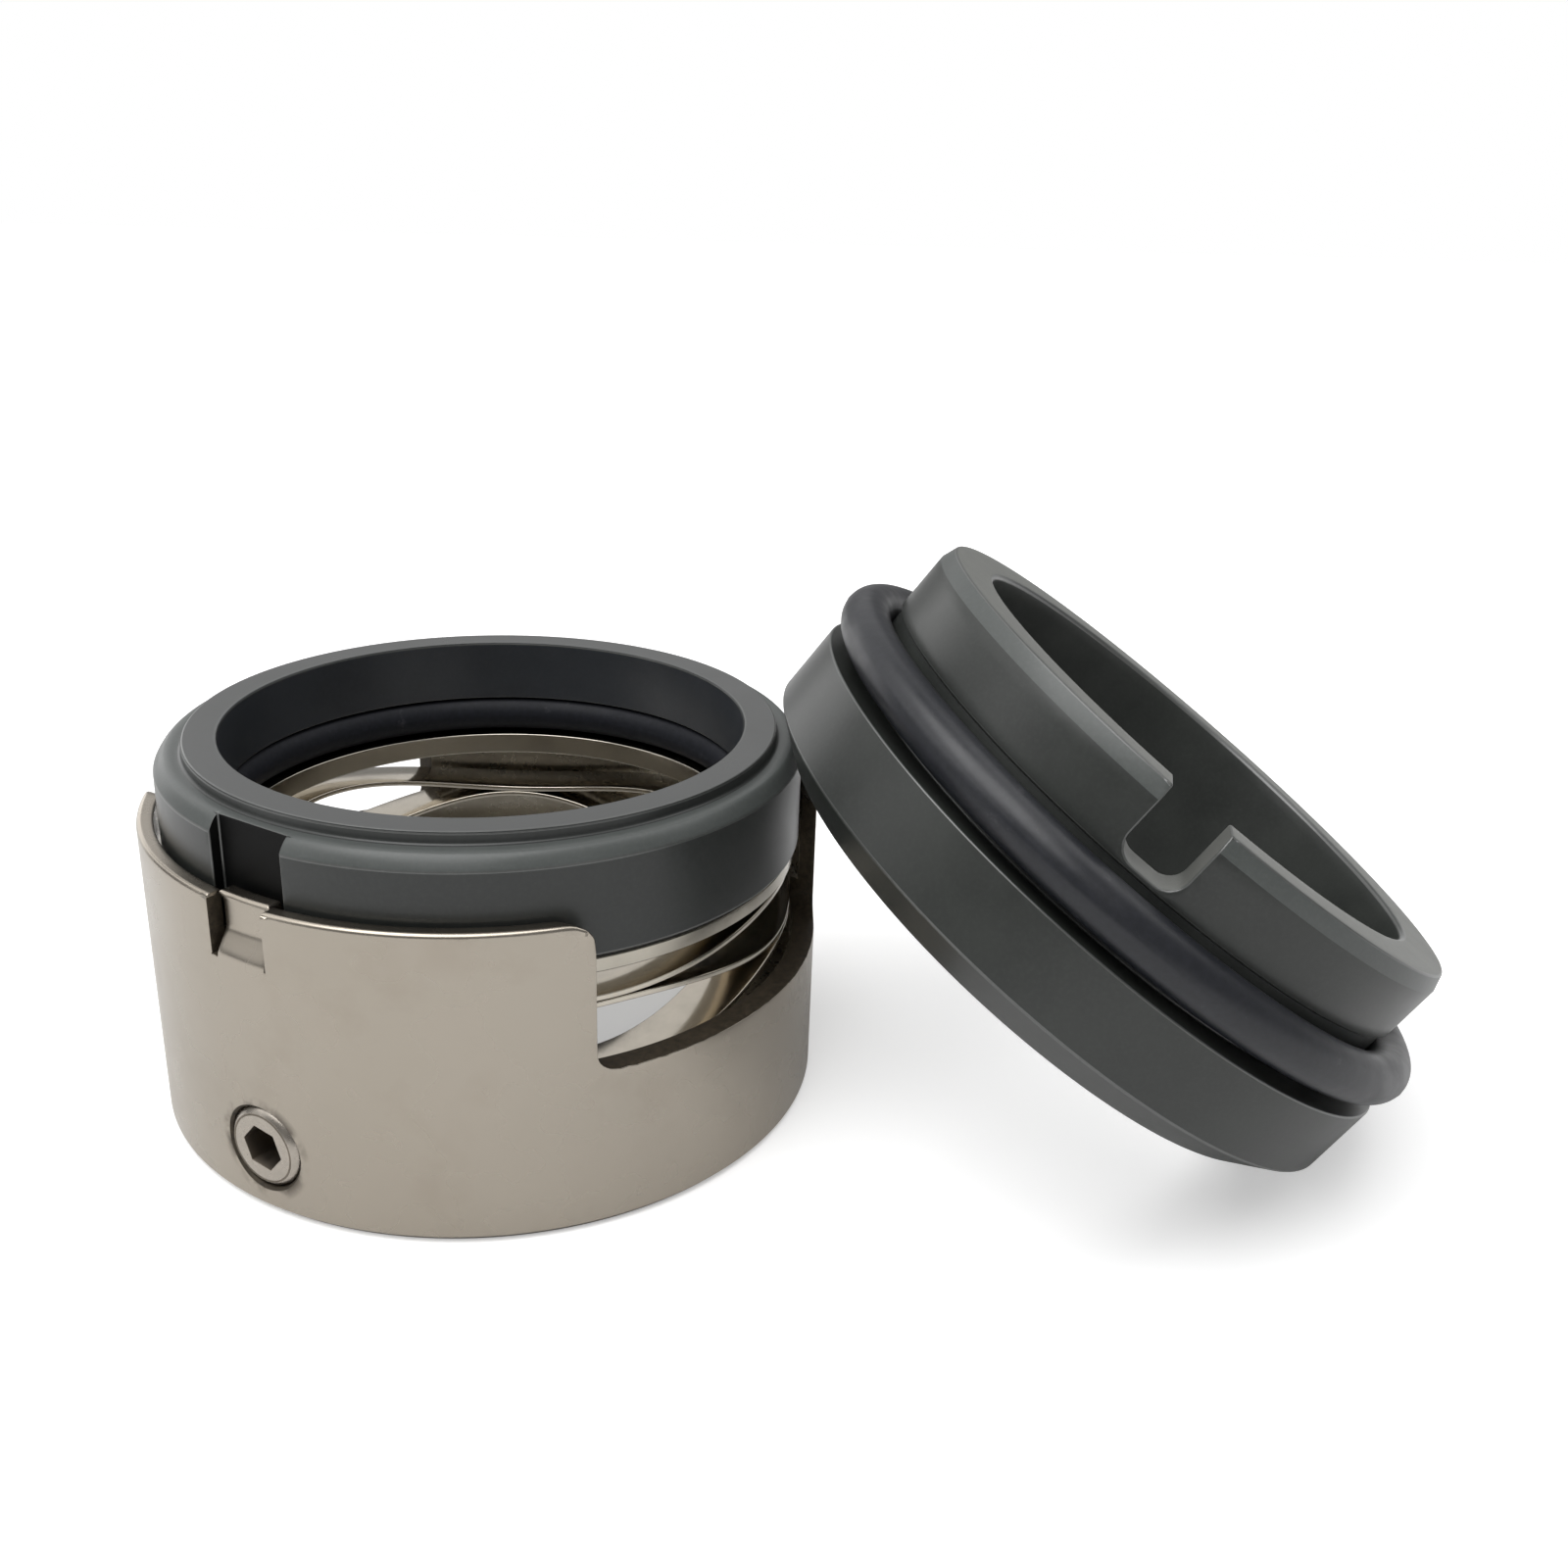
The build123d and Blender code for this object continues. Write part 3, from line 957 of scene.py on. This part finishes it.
def threaded_hole(shell, thread):
    """A screw hole's bevelled mouth and its thread; the mouth and the wall above the thread are painted dark
    as shade.
    """
    at = hole_frame(far_screw)
    angles = [2 * pi * index / around_screw for index in range(around_screw)]
    lines = []
    for radius, depth in ((hole_radius + hole_mouth, 0.0), (hole_radius, hole_mouth)):
        line = []
        for angle in angles:
            surface = sqrt(sleeve_radius ** 2 - (radius * cos(angle)) ** 2)
            line.append(at(radius * cos(angle), radius * sin(angle), surface - depth))
        lines.append(line)
    start = sleeve_radius - thread_start
    lines.append([at(hole_radius * cos(angle), hole_radius * sin(angle), start) for angle in angles])
    # Painted shade: the dark sheared finish on the mouth and the wall above the thread stands for the shade
    # in the gap round the screw.
    shell.strip(lines, closed=True, finish=SHEARED_AND_SHADE)
    shell.add_mesh(thread, lambda place: at(*place), INSIDE)


def retainer_half(thread):
    """The half of the retainer that holds one window, one drive tab and one screw hole."""
    shell = Shell()
    edge = retainer_outline()
    mouth = hole_loop(hole_radius + hole_mouth, sleeve_radius, sleeve_radius)
    wall(shell, edge, 0, outer_radius, sleeve_radius, base_chamfer, [mouth], (), OUTSIDE)
    creases = (step_height - step_blend, step_height + step_blend)
    wall(shell, edge, 1, inner_radius, sleeve_bore, collar_height, [], creases, INSIDE)
    collar(shell)
    cut_edge(shell, edge)
    threaded_hole(shell, thread)
    return shell


def retainer_edge(first, second):
    """The rim is well rounded, most on the outside, and less so down the corners of the windows."""
    level = min(first.z, second.z)
    across = (degrees(atan2(first.y, first.x)) - far_drive + 90) % 180 - 90
    across = radians(across) * sleeve_radius
    if abs(across - tab_right - tab_shear / 2) < tab_shear and level < retainer_height - HAIR:
        return shear_edge
    on_slit = tab_left - slit_width - 2 * HAIR < across < tab_left + 2 * HAIR
    if on_slit or level < retainer_height - window_flare - HAIR:
        return fine_edge
    shift = tab_shift if tab_left < across < tab_right + tab_shear / 2 else 0.0
    middle = (sleeve_radius + sleeve_bore) / 2 - shift
    outside = min(hypot(first.x, first.y), hypot(second.x, second.y)) > middle
    most = 1.0 if outside else inner_rim
    share = max(0.0, (level - retainer_height + window_flare) / window_flare)
    return fine_edge + (most - fine_edge) * min(1.0, share)


def make_retainer(finishes, threads):
    """The collar that clamps on the shaft, and the sleeve around spring and face."""
    saddle = sqrt(collar_bore ** 2 - hole_radius ** 2)
    thread = grow(
        "hole_thread", threads, radius=hole_radius, depth=hole_thread, pitch=thread_pitch, bottom=saddle,
        top=sleeve_radius - thread_start, bore=collar_bore, around=around_screw, along=rows_along_hole,
        material=finishes[INSIDE],
    )
    half = retainer_half(thread.data)
    bpy.data.objects.remove(thread)
    shell = Shell()
    shell.copy_of(half, 0)
    shell.copy_of(half, 180)
    return finish_mesh("collar_and_sleeve", shell, finishes, retainer_edge, edge_break)


# ---------------------------------------------------------------- set screws

def make_set_screw(name, azimuth, finishes, threads):
    """A hexagon-socket set screw with a threaded barrel and a cup point."""
    thread = grow(
        name + "_thread", threads, radius=screw_radius, depth=-screw_thread, pitch=thread_pitch,
        bottom=screw_chamfer - screw_length, top=-screw_chamfer, bore=-1.0, around=around_screw,
        along=rows_along_screw, material=finishes[BARREL],
    )
    shell = Shell()
    shell.add_mesh(thread.data)
    bpy.data.objects.remove(thread)
    angles = [360 * index / around_screw for index in range(around_screw)]
    face_edge_radius = screw_radius - screw_chamfer

    def flat_to(azimuth):
        """The hexagon's reach at an azimuth."""
        return socket_size / 2 / cos(radians((azimuth - socket_turn) % 60 - 30))

    line_end = face_edge_radius - 2 * face_line
    turn(shell, [(screw_radius, -screw_chamfer), (face_edge_radius, 0)], angles)
    line = [(face_edge_radius, 0), (face_edge_radius - face_line, -face_line), (line_end, 0)]
    turn(shell, line, angles, SOCKET)
    socket_reach = socket_size / 2 / cos(radians(30)) + socket_margin
    turn(shell, [(line_end, 0), (socket_reach, 0)], angles)
    around_socket = [[polar(socket_reach, a, 0) for a in angles], [polar(flat_to(a), a, 0) for a in angles]]
    shell.strip(around_socket, closed=True)
    sides = [[polar(flat_to(a), a, -socket_depth * share) for a in angles] for share in (0, 0.5, 1)]
    shell.strip(sides, closed=True, finish=SOCKET)
    rim = [polar(socket_size / 2, a, -socket_depth) for a in angles]
    tip = [polar(drill_tip, a, -socket_depth - drill_depth) for a in angles]
    shell.strip([sides[-1], rim, tip], closed=True, finish=SOCKET)
    shell.add(tip, [tuple(range(around_screw))], SOCKET)
    turn(shell, [
        (screw_radius, screw_chamfer - screw_length),
        (screw_radius - screw_chamfer, -screw_length),
        (cup_radius, -screw_length),
        (cup_tip, cup_depth - screw_length),
    ], angles)
    shell.add([polar(cup_tip, a, cup_depth - screw_length) for a in angles], [tuple(range(around_screw))])
    around = radians(azimuth)
    out = Vector((cos(around), sin(around), 0))
    across = Vector((-sin(around), cos(around), 0))
    origin = out * sleeve_radius + Vector((0, 0, screw_height))
    matrix = Matrix((across, Vector((0, 0, 1)), out)).transposed().to_4x4()
    matrix.translation = origin * MM
    return finish_mesh(name, shell, finishes, every_edge, screw_edge, segments=2, matrix=matrix)


# ---------------------------------------------------------------- face, thrust ring, spring, O-rings

full_circle = [360 * index / around_face for index in range(around_face)]
shoulder_rings = even(face_radius - shoulder_width, face_radius, 6)


def lobe(centre, radius):
    """The seal face's outline at a radius, from one drive slot to the other."""
    corner = degrees(asin(slot_width / 2 / radius))
    azimuths = even(centre + corner, centre + 180 - corner, lobe_steps)
    return [polar(radius, azimuth, 0)[:2] for azimuth in azimuths]


def slot_wall(centre, side, radii):
    """Points down one wall of a drive slot."""
    turned = Matrix.Rotation(radians(centre), 2)
    return [tuple(turned @ Vector((sqrt(radius ** 2 - slot_width ** 2 / 4), side))) for radius in radii]


def slot_line(centre, radii):
    """A drive slot's outline seen from above, in by one wall and out by the other."""
    half = slot_width / 2
    turned = Matrix.Rotation(radians(centre), 2)
    floor = [tuple(turned @ Vector((slot_floor, x))) for x in even(-half, half, slot_steps)]
    return slot_wall(centre, -half, radii[::-1]) + floor + slot_wall(centre, half, radii)


def face_plan(radii):
    """The seal face's whole outline seen from above; the last radius is its widest."""
    outline = []
    for centre in (drive_azimuth, far_drive):
        outline += slot_line(centre, radii) + lobe(centre, radii[-1])[1:-1]
    return outline


def shoulder_level(radius):
    """Height of the seal face's shoulder, which slopes off at the outside."""
    share = min(max(1 - (face_radius - radius) / shoulder_width, 0.0), 1.0)
    return shoulder_height - shoulder_drop * share ** shoulder_curve


def face_edge(first, second):
    """Full edge breaks on the nose, the shoulder and the back, finer ones in the drive slots."""
    radii = [hypot(point.x, point.y) for point in (first, second)]
    around = abs(radii[0] - radii[1]) < WELD
    in_slot = min(radii) > slot_floor - 5 * HAIR and max(first.z, second.z) > face_low.z + face_chamfer
    return slot_edge if in_slot and not around else 1.0


def make_seal_face(finishes):
    """The rotating face: a lapped nose, a round shoulder, an O-ring cavity and two drive slots."""
    shell = Shell()
    bottom = face_low.z
    back_radius = face_radius - face_chamfer
    narrow = [min(radius, back_radius) for radius in shoulder_rings]
    for centre in (drive_azimuth, far_drive):
        parts = [
            (slot_line(centre, shoulder_rings), slot_line(centre, narrow), SHADE_AND_GROUND),
            (lobe(centre, face_radius), lobe(centre, back_radius), PLAIN),
        ]
        for outline, back, finish in parts:
            lines = [[(x, y, bottom) for x, y in back]]
            for share in even(0, 1, slot_rows):
                line = []
                for x, y in outline:
                    radius = hypot(x, y)
                    start = bottom + max(0.0, radius - back_radius)
                    line.append((x, y, start + (shoulder_level(radius) - start) * share))
                lines.append(line)
            # Painted shade: the back chamfer all round and the drive slots' walls take the near-black finish.
            shell.strip(lines[:2], finish=SHADE_AND_GROUND)
            shell.strip(lines[1:], finish=finish)
        slope = []
        for radius in shoulder_rings:
            slope.append([(x, y, shoulder_level(radius)) for x, y in lobe(centre, radius)])
        shell.strip(slope, finish=SLOPED)
    foot_radius = nose_radius + nose_foot
    inner = [tuple(polar(foot_radius, azimuth, 0)[:2]) for azimuth in full_circle]
    flat = face_plan(shoulder_rings[:1])
    shell.add(*plan_fill([flat, inner], land_rings, shoulder_height), SLOPED)
    hollow = [tuple(polar(cavity_radius, azimuth, 0)[:2]) for azimuth in full_circle]
    back = face_plan([radius for radius in shoulder_rings if radius < back_radius] + [back_radius])
    shell.add(*plan_fill([back, hollow], land_rings[:1], bottom))
    nose = arc((foot_radius, shoulder_height + nose_foot), nose_foot, 270, 180, 5)
    nose += [(nose_radius, nose_top - nose_edge), (nose_radius - nose_edge, nose_top)]
    turn(shell, nose, full_circle)
    lapped = [(nose_radius - nose_edge, nose_top), (nose_ring, nose_top), (face_bore + nose_edge, nose_top)]
    turn(shell, lapped, full_circle, LAPPED)
    turn(shell, [
        (face_bore + nose_edge, nose_top),
        (face_bore, nose_top - nose_edge),
        (face_bore, bore_ring),
        (face_bore, cavity_roof),
    ], full_circle, HONED)
    turn(shell, [
        (face_bore, cavity_roof),
        (nose_ring, cavity_roof),
        (cavity_radius, cavity_roof),
        (cavity_radius, bottom),
    ], full_circle)
    return finish_mesh("rotating_face", shell, finishes, face_edge, face_edge_break, worn=True)


def make_thrust_ring(finishes):
    """The washer between spring and face, with a spigot that backs the O-ring."""
    shell = Shell()
    turn(shell, [
        (thrust_bore, thrust_low.z),
        (washer_ring, thrust_low.z),
        (thrust_radius, thrust_low.z),
        (thrust_radius, face_low.z),
        (spigot_radius, face_low.z),
        (spigot_radius, thrust_high.z),
        (spigot_ring, thrust_high.z),
        (thrust_bore, thrust_high.z),
        (thrust_bore, thrust_low.z),
    ], full_circle)
    return finish_mesh("thrust_washer", shell, finishes, every_edge, washer_edge)


def make_oring(name, finishes, radius, section, height, matrix=None):
    """A moulded O-ring with the fine flash line that its mould leaves inside and outside."""
    shell = Shell()
    profile = []
    for angle in even(0, 2 * pi, around_section):
        off = min(abs(sin(angle)) * section / 2 / flash_width, 1.0)
        reach = section / 2 + flash_height * (1 - off)
        profile.append((radius + reach * cos(angle), height + reach * sin(angle)))
    turn(shell, profile, full_circle)
    return finish_mesh(name, shell, finishes, every_edge, 0.0, matrix=matrix)


def make_wave_spring(finish):
    """The wave spring: each crest meets the trough above it, and the waves open towards the collar."""
    turns = half_waves / waves_per_turn / 2
    step = spring_wire + spring_gap
    reach = thrust_low.z - collar_height - spring_wire - 2 * spring_gap
    swing = (reach - step * turns) / (turns + 1) - swing_growth * turns / 2
    start = crest_azimuth - turns * 360 - lead_in
    end = crest_azimuth + tail
    return grow(
        "wave_coil", wave_tree(), start=radians(start), end=radians(end), crest=radians(crest_azimuth),
        waves=waves_per_turn, pitch=(step + swing - swing_growth / 2) * MM, swing=swing * MM,
        growth=swing_growth * MM, top=(thrust_low.z - spring_gap - spring_wire / 2) * MM,
        radius=(spring_inner + spring_outer) / 2 * MM, width=(spring_outer - spring_inner) * MM,
        thickness=spring_wire * MM, edge=spring_edge * MM, steps=int(end - start), material=finish,
    )


# ---------------------------------------------------------------- seat ring

def seat_matrix():
    """Where the leaning seat rests: the middle of its sealing face, with Z along its axis."""
    found = mount("seat_bore")
    axis = Vector(found["axis"]).normalized()
    across = Vector((-axis.y, axis.x, 0)).normalized()
    origin = Vector(found["pos_m"]) - axis * (seat_length / 2 * MM)
    matrix = Matrix((across, axis.cross(across), axis)).transposed().to_4x4()
    matrix.translation = origin
    return matrix


# The hub's outline from its outer foot over the end and down the bore, and the length up to each corner
hub_path = [
    (seat_hub, groove_end),
    (seat_hub, seat_length - hub_chamfer_length),
    (seat_hub - hub_chamfer_depth, seat_length),
    (seat_bore + seat_bore_edge, seat_length),
    (seat_bore, seat_length - seat_bore_edge),
    (seat_bore, bore_join),
]
hub_lengths = [0.0]
for (first_radius, first_height), (next_radius, next_height) in zip(hub_path, hub_path[1:]):
    hub_lengths.append(hub_lengths[-1] + hypot(next_radius - first_radius, next_height - first_height))


def notch_profile():
    """The notch's outline, from the top of one side round its floor to the top of the other."""
    side = notch_width / 2
    marks = [seat_length, seat_length - seat_bore_edge, seat_length - hub_chamfer_length]
    down = []
    for high, low in zip(marks, marks[1:] + [notch_floor + notch_corner]):
        down.extend(spread(high, low, notch_side_step)[:-1])
    left = [(-side, height) for height in down]
    left += arc((-side + notch_corner, notch_floor + notch_corner), notch_corner, 180, 270, 8)
    floor = spread(-side + notch_corner, side - notch_corner, notch_floor_step)[1:-1]
    return left + [(x, notch_floor) for x in floor] + [(-x, z) for x, z in reversed(left)]


def hub_radius(height):
    """The hub's outside at a height."""
    into = height - (seat_length - hub_chamfer_length)
    return seat_hub - max(0.0, into) * hub_chamfer_depth / hub_chamfer_length


def bore_radius(height):
    """The bore's wall at a height."""
    return seat_bore + max(0.0, height - (seat_length - seat_bore_edge))


def between_walls(x, height, share):
    """How far out a point of the notch's wall lies, from the hub's outside to the bore."""
    outer = sqrt(hub_radius(height) ** 2 - x * x)
    inner = sqrt(bore_radius(height) ** 2 - x * x)
    return outer + (inner - outer) * share


def unrolled(x, height, outer):
    """Where a point of the notch's outline lies on the unrolled hub."""
    azimuth = degrees(asin(x / (hub_radius(height) if outer else bore_radius(height))))
    for index in range(3) if outer else range(3, 5):
        low, high = sorted((hub_path[index][1], hub_path[index + 1][1]))
        if low - 1e-9 <= height <= high + 1e-9 and high > low:
            share = (height - hub_path[index][1]) / (hub_path[index + 1][1] - hub_path[index][1])
            along = hub_lengths[index] + share * (hub_lengths[index + 1] - hub_lengths[index])
            return (radians(azimuth) * unrolled_radius, along)


def unrolled_end(x, share):
    """Where a point of the notch's side lies on the unrolled flat end."""
    y = between_walls(x, seat_length, share)
    return (atan2(x, y) * unrolled_radius, hub_lengths[2] + hub_path[2][0] - hypot(x, y))


def on_hub(along):
    """The radius and height at a length along the hub's outline."""
    index = 0
    while index < len(hub_path) - 2 and along > hub_lengths[index + 1] + 1e-6:
        index += 1
    share = (along - hub_lengths[index]) / (hub_lengths[index + 1] - hub_lengths[index])
    share = min(1.0, max(0.0, share))
    (r1, z1), (r2, z2) = hub_path[index], hub_path[index + 1]
    return r1 + (r2 - r1) * share, z1 + (z2 - z1) * share


def notched_hub(shell, profile, shares):
    """The hub's outside, its end and the start of its bore, with the notch left open."""
    side = notch_width / 2
    notch = [unrolled(x, z, True) for x, z in profile]
    notch += [unrolled_end(side, share) for share in shares[1:-1]]
    notch += reversed([unrolled(x, z, False) for x, z in profile])
    notch += [unrolled_end(-side, share) for share in reversed(shares[1:-1])]
    columns = [radians(azimuth) * unrolled_radius for azimuth in spread(-180, 180, seat_column)]
    rows = spread(0, hub_lengths[1], seat_rows[0]) + spread(hub_lengths[2], hub_lengths[3], seat_rows[1])
    rows += hub_lengths[2:5] + spread(hub_lengths[4], hub_lengths[5], seat_rows[2])
    rows = sorted(set(rows))
    loops = [border(columns, rows), notch]
    flat, faces = fill(loops, columns[1:-1], rows[1:-1], hub_lengths[1:5], margin=seat_margin)
    solid = []
    for around, along in flat:
        radius, height = on_hub(along)
        solid.append(polar(radius, notch_azimuth + degrees(around / unrolled_radius), height))
    kinds = []
    for face in faces:
        middle = sum(flat[index][1] for index in face) / 3
        on_end = hub_lengths[2] < middle < hub_lengths[3]
        on_chamfer = hub_lengths[1] < middle < hub_lengths[2]
        kinds.append(SHADE_AND_GROUND if on_end else SLOPED if on_chamfer else PLAIN)
    shell.add(solid, faces, kinds)


def make_seat_ring(finishes):
    """The stationary seat: a lapped face, a chamfered flange, an O-ring groove and a notched hub."""
    shell = Shell()
    profile = notch_profile()
    shares = spread(0, 1, notch_share)
    notched_hub(shell, profile, shares)
    out = Vector(polar(1, notch_azimuth, 0))
    beside = Vector((-out.y, out.x, 0))
    lines = []
    for share in shares:
        line = []
        for x, z in profile:
            line.append(tuple(out * between_walls(x, z, share) + beside * x + Vector((0, 0, z))))
        lines.append(line)
    # Painted light: the notch walls take the end's light ground finish, though they lie in shade.
    shell.strip(lines, finish=SHADE_AND_GROUND)
    azimuths = [notch_azimuth + azimuth for azimuth in spread(-180, 180, seat_column)[:-1]]
    lapped = [(seat_face, 0), (lapped_ring, 0), (seat_bore + seat_bore_edge, 0)]
    turn(shell, lapped, azimuths, LAPPED)
    turn(shell, [
        (seat_bore + seat_bore_edge, 0),
        (seat_bore, seat_bore_edge),
        (seat_bore, bore_middle),
        (seat_bore, bore_join),
    ], azimuths)
    turn(shell, [
        (seat_face, 0),
        (seat_flange, flange_chamfer),
        (seat_flange, flange_middle),
        (seat_flange, flange_length),
        (flange_ring, flange_length),
        (seat_groove, flange_length),
        (seat_groove, groove_middle),
        (seat_groove, groove_end),
        (seat_hub, groove_end),
    ], azimuths)
    return finish_mesh(
        "seat_ceramic_ring", shell, finishes, every_edge, ceramic_edge, matrix=seat_matrix(), worn=True
    )


# ---------------------------------------------------------------- the pieces

def place(piece, body, slot, *nodes):
    """Tie a piece to its body and hide the nodes it stands for; the slot is not used."""
    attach(piece, body)
    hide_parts(*nodes)


sleeve_finish = satin_steel()
cut_and_shade_finish = sheared_steel()
inner_finish = bright_steel("turned_stainless", (0.50, 0.465, 0.40), 0.24, 0.34, 1.2)
thrust_finish = bright_steel("polished_washer", (0.50, 0.465, 0.40), 0.16, 0.24, 2.5)
spring_finish = bright_steel("rolled_strip", (0.60, 0.55, 0.47), 0.12, 0.2, 2.0)
screw_finish = bright_steel("screw_stainless", (0.44, 0.40, 0.35), 0.24, 0.32, 0.8)
socket_finish = bright_steel("socket_steel", (0.22, 0.19, 0.155), 0.35, 0.5, 0.6)
face_finish = ceramic("face_carbide", (0.020, 0.022, 0.021), (0.027, 0.0295, 0.028), 0.30, 0.38, 1.5)
nose_finish = ceramic("lapped_carbide", (0.022, 0.024, 0.0235), (0.028, 0.030, 0.029), 0.26, 0.34)
seat_finish = ceramic("seat_carbide", (0.020, 0.022, 0.0205), (0.030, 0.033, 0.030), 0.30, 0.38, 1.5)
edge_finish = ceramic("worn_carbide_edge", (0.045, 0.048, 0.045), (0.07, 0.073, 0.07), 0.28, 0.36)
# A lighter copy of the carbide for the face's shoulder and the seat's hub chamfer: partly their ground
# finish, partly painted light where the overhead lamp falls.
ground_painted_light_finish = ceramic("ground_shoulder", (0.062, 0.068, 0.065), (0.072, 0.079, 0.076), 0.34, 0.42, 1.5)
# Ground carbide of the hub's end, lighter than the rest; also put on the notch walls as painted light where
# they lie in shade.
end_and_notch_light_finish = ceramic("ground_end", (0.135, 0.138, 0.128), (0.155, 0.158, 0.147), 0.40, 0.48, 1.5)
bore_finish = ceramic("honed_bore", (0.024, 0.027, 0.032), (0.030, 0.034, 0.040), 0.30, 0.38, 1.6)
# Near-black carbide with little shine: painted shade for the drive slots and the back chamfer.
painted_shade_finish = ceramic("ground_slot", (0.003, 0.003, 0.003), (0.005, 0.005, 0.005), 0.45, 0.55, 1.2)
rubber_finish = rubber("black_rubber", 0.33, 0.43, 1.5)
dull_rubber = rubber("dull_black_rubber", 0.5, 0.6, 1.3)

threads = thread_tree()
place(make_retainer([sleeve_finish, cut_and_shade_finish, inner_finish], threads), "head", "retainer_steel", "retainer")
face_finishes = [face_finish, nose_finish, edge_finish, painted_shade_finish, ground_painted_light_finish, bore_finish]
place(make_seal_face(face_finishes), "face", "face_ceramic", "seal_face")
place(make_thrust_ring([thrust_finish]), "face", "thrust_steel", "thrust_ring")
shaft_oring = make_oring(
    "shaft_rubber_ring", [dull_rubber], shaft_oring_inner + shaft_oring_section / 2, shaft_oring_section,
    cavity_roof - spring_gap - shaft_oring_section / 2,
)
place(shaft_oring, "face", "rubber", "shaft_oring")
spring = make_wave_spring(spring_finish)
place(spring, "head", "spring_steel", "wave_spring")
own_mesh(spring)
for number, azimuth in ((1, screw_azimuth), (2, far_screw)):
    screw = make_set_screw(f"socket_screw_{number}", azimuth, [screw_finish, socket_finish], threads)
    place(screw, f"screw_{number}", "screw_steel", f"set_screw_{number}")
seat_finishes = [seat_finish, nose_finish, edge_finish, end_and_notch_light_finish, ground_painted_light_finish]
place(make_seat_ring(seat_finishes), "head", "seat_ceramic", "seat_ring")
seat_oring = make_oring(
    "seat_rubber_ring", [rubber_finish], seat_oring_radius, seat_oring_section, seat_oring_height,
    seat_matrix(),
)
place(seat_oring, "head", "rubber", "seat_oring")


# ---------------------------------------------------------------- camera, floor and light

floor_size = 1.5
painted_shadow_under_head = (0.024, 0.03)    # metres from the axis, inside which the floor is darkened as painted shadow, turning pale by the outer one
world_light = 0.26
lamp_target = Vector((0.02, -0.005, 0.02))


def make_camera():
    """The camera, from its place, heading, tilt and roll."""
    yaw = radians(11.3863)
    pitch = radians(21.6972)
    roll = radians(2.0720)
    forward = Vector((sin(yaw) * cos(pitch), cos(yaw) * cos(pitch), -sin(pitch)))
    level = Vector((cos(yaw), -sin(yaw), 0))
    upright = level.cross(forward)
    right = level * cos(roll) + upright * sin(roll)
    up = upright * cos(roll) - level * sin(roll)
    data = bpy.data.cameras.new("camera")
    data.lens = 36.149
    data.sensor_width = 36.0
    data.sensor_fit = "HORIZONTAL"
    data.clip_start = 0.01
    data.clip_end = 20.0
    camera = bpy.data.objects.new("camera", data)
    camera.matrix_world = Matrix((right, up, -forward)).transposed().to_4x4()
    camera.matrix_world.translation = Vector((0, -0.135365, 0.081358))
    bpy.context.scene.collection.objects.link(camera)
    bpy.context.scene.camera = camera


def make_floor():
    """A plain pale floor that shows white and keeps the object's shadow, with painted shadow making it darker
    inside the head's bore.
    """
    corners_around = [(-1, -1), (1, -1), (1, 1), (-1, 1)]
    mesh = bpy.data.meshes.new("floor")
    mesh.from_pydata([(x * floor_size, y * floor_size, 0) for x, y in corners_around], [], [(0, 1, 2, 3)])
    floor = bpy.data.objects.new("floor", mesh)
    bpy.context.scene.collection.objects.link(floor)
    finish = Finish("pale_floor")
    reach = finish.node("ShaderNodeVectorMath", {"operation": "LENGTH"}, Vector=finish.place).outputs["Value"]
    inner, outer = painted_shadow_under_head
    far = finish.range(reach, 0.42, 1.0, 0.16, 0.45)
    painted_shadow = finish.range(reach, 0.1, 1.0, inner, outer)
    seen = finish.node("ShaderNodeLightPath").outputs["Is Camera Ray"]
    glow = finish.math("MULTIPLY", seen, finish.math("MULTIPLY", far, painted_shadow))
    # Painted shadow: the floor's colour is darker inside the head's bore too.
    finish.set(Base_Color=finish.range(reach, 0.5, 0.8, inner, outer), Roughness=0.9, Specular_IOR_Level=0.0)
    finish.set(Emission_Color=(1, 1, 1, 1), Emission_Strength=glow)
    mesh.materials.append(finish.material)


def make_world():
    """Even studio light, white where the camera sees it."""
    world = bpy.data.worlds.new("studio")
    bpy.context.scene.world = world
    world.use_nodes = True
    nodes = Nodes(world.node_tree)
    mix = nodes.node("ShaderNodeMix", {"data_type": "FLOAT"})
    seen = nodes.node("ShaderNodeLightPath").outputs["Is Camera Ray"]
    for value, index in ((seen, 0), (world_light, 2), (1.0, 3)):
        nodes.link(value, mix.inputs[index])
    backdrop = world.node_tree.nodes["Background"].inputs
    nodes.link(mix.outputs[0], backdrop["Strength"])
    nodes.link((1, 1, 1, 1), backdrop["Color"])


def make_lamp(name, azimuth, elevation, distance, size, power):
    """A square soft lamp that points at the object."""
    away = Vector((
        sin(radians(azimuth)) * cos(radians(elevation)),
        -cos(radians(azimuth)) * cos(radians(elevation)),
        sin(radians(elevation)),
    ))
    data = bpy.data.lights.new(name, "AREA")
    data.size = size
    data.energy = power
    lamp = bpy.data.objects.new(name, data)
    lamp.location = lamp_target + away * distance
    lamp.rotation_euler = away.to_track_quat("Z", "Y").to_euler()
    bpy.context.scene.collection.objects.link(lamp)


make_camera()
make_floor()
make_world()
for lamp in (
    ("key", -40, 68, 0.8, 0.7, 5.6),
    ("side", -110, 52, 0.9, 0.8, 2.0),
    ("rim", -145, 9, 0.9, 0.5, 1.1),
    ("front", -85, 25, 0.9, 0.5, 0.5),
    ("counter", 100, 54, 0.9, 0.7, 2.0),
    ("back", 185, 38, 0.9, 0.8, 1.0),
):
    make_lamp(*lamp)
bpy.context.scene.view_settings.view_transform = "Standard"
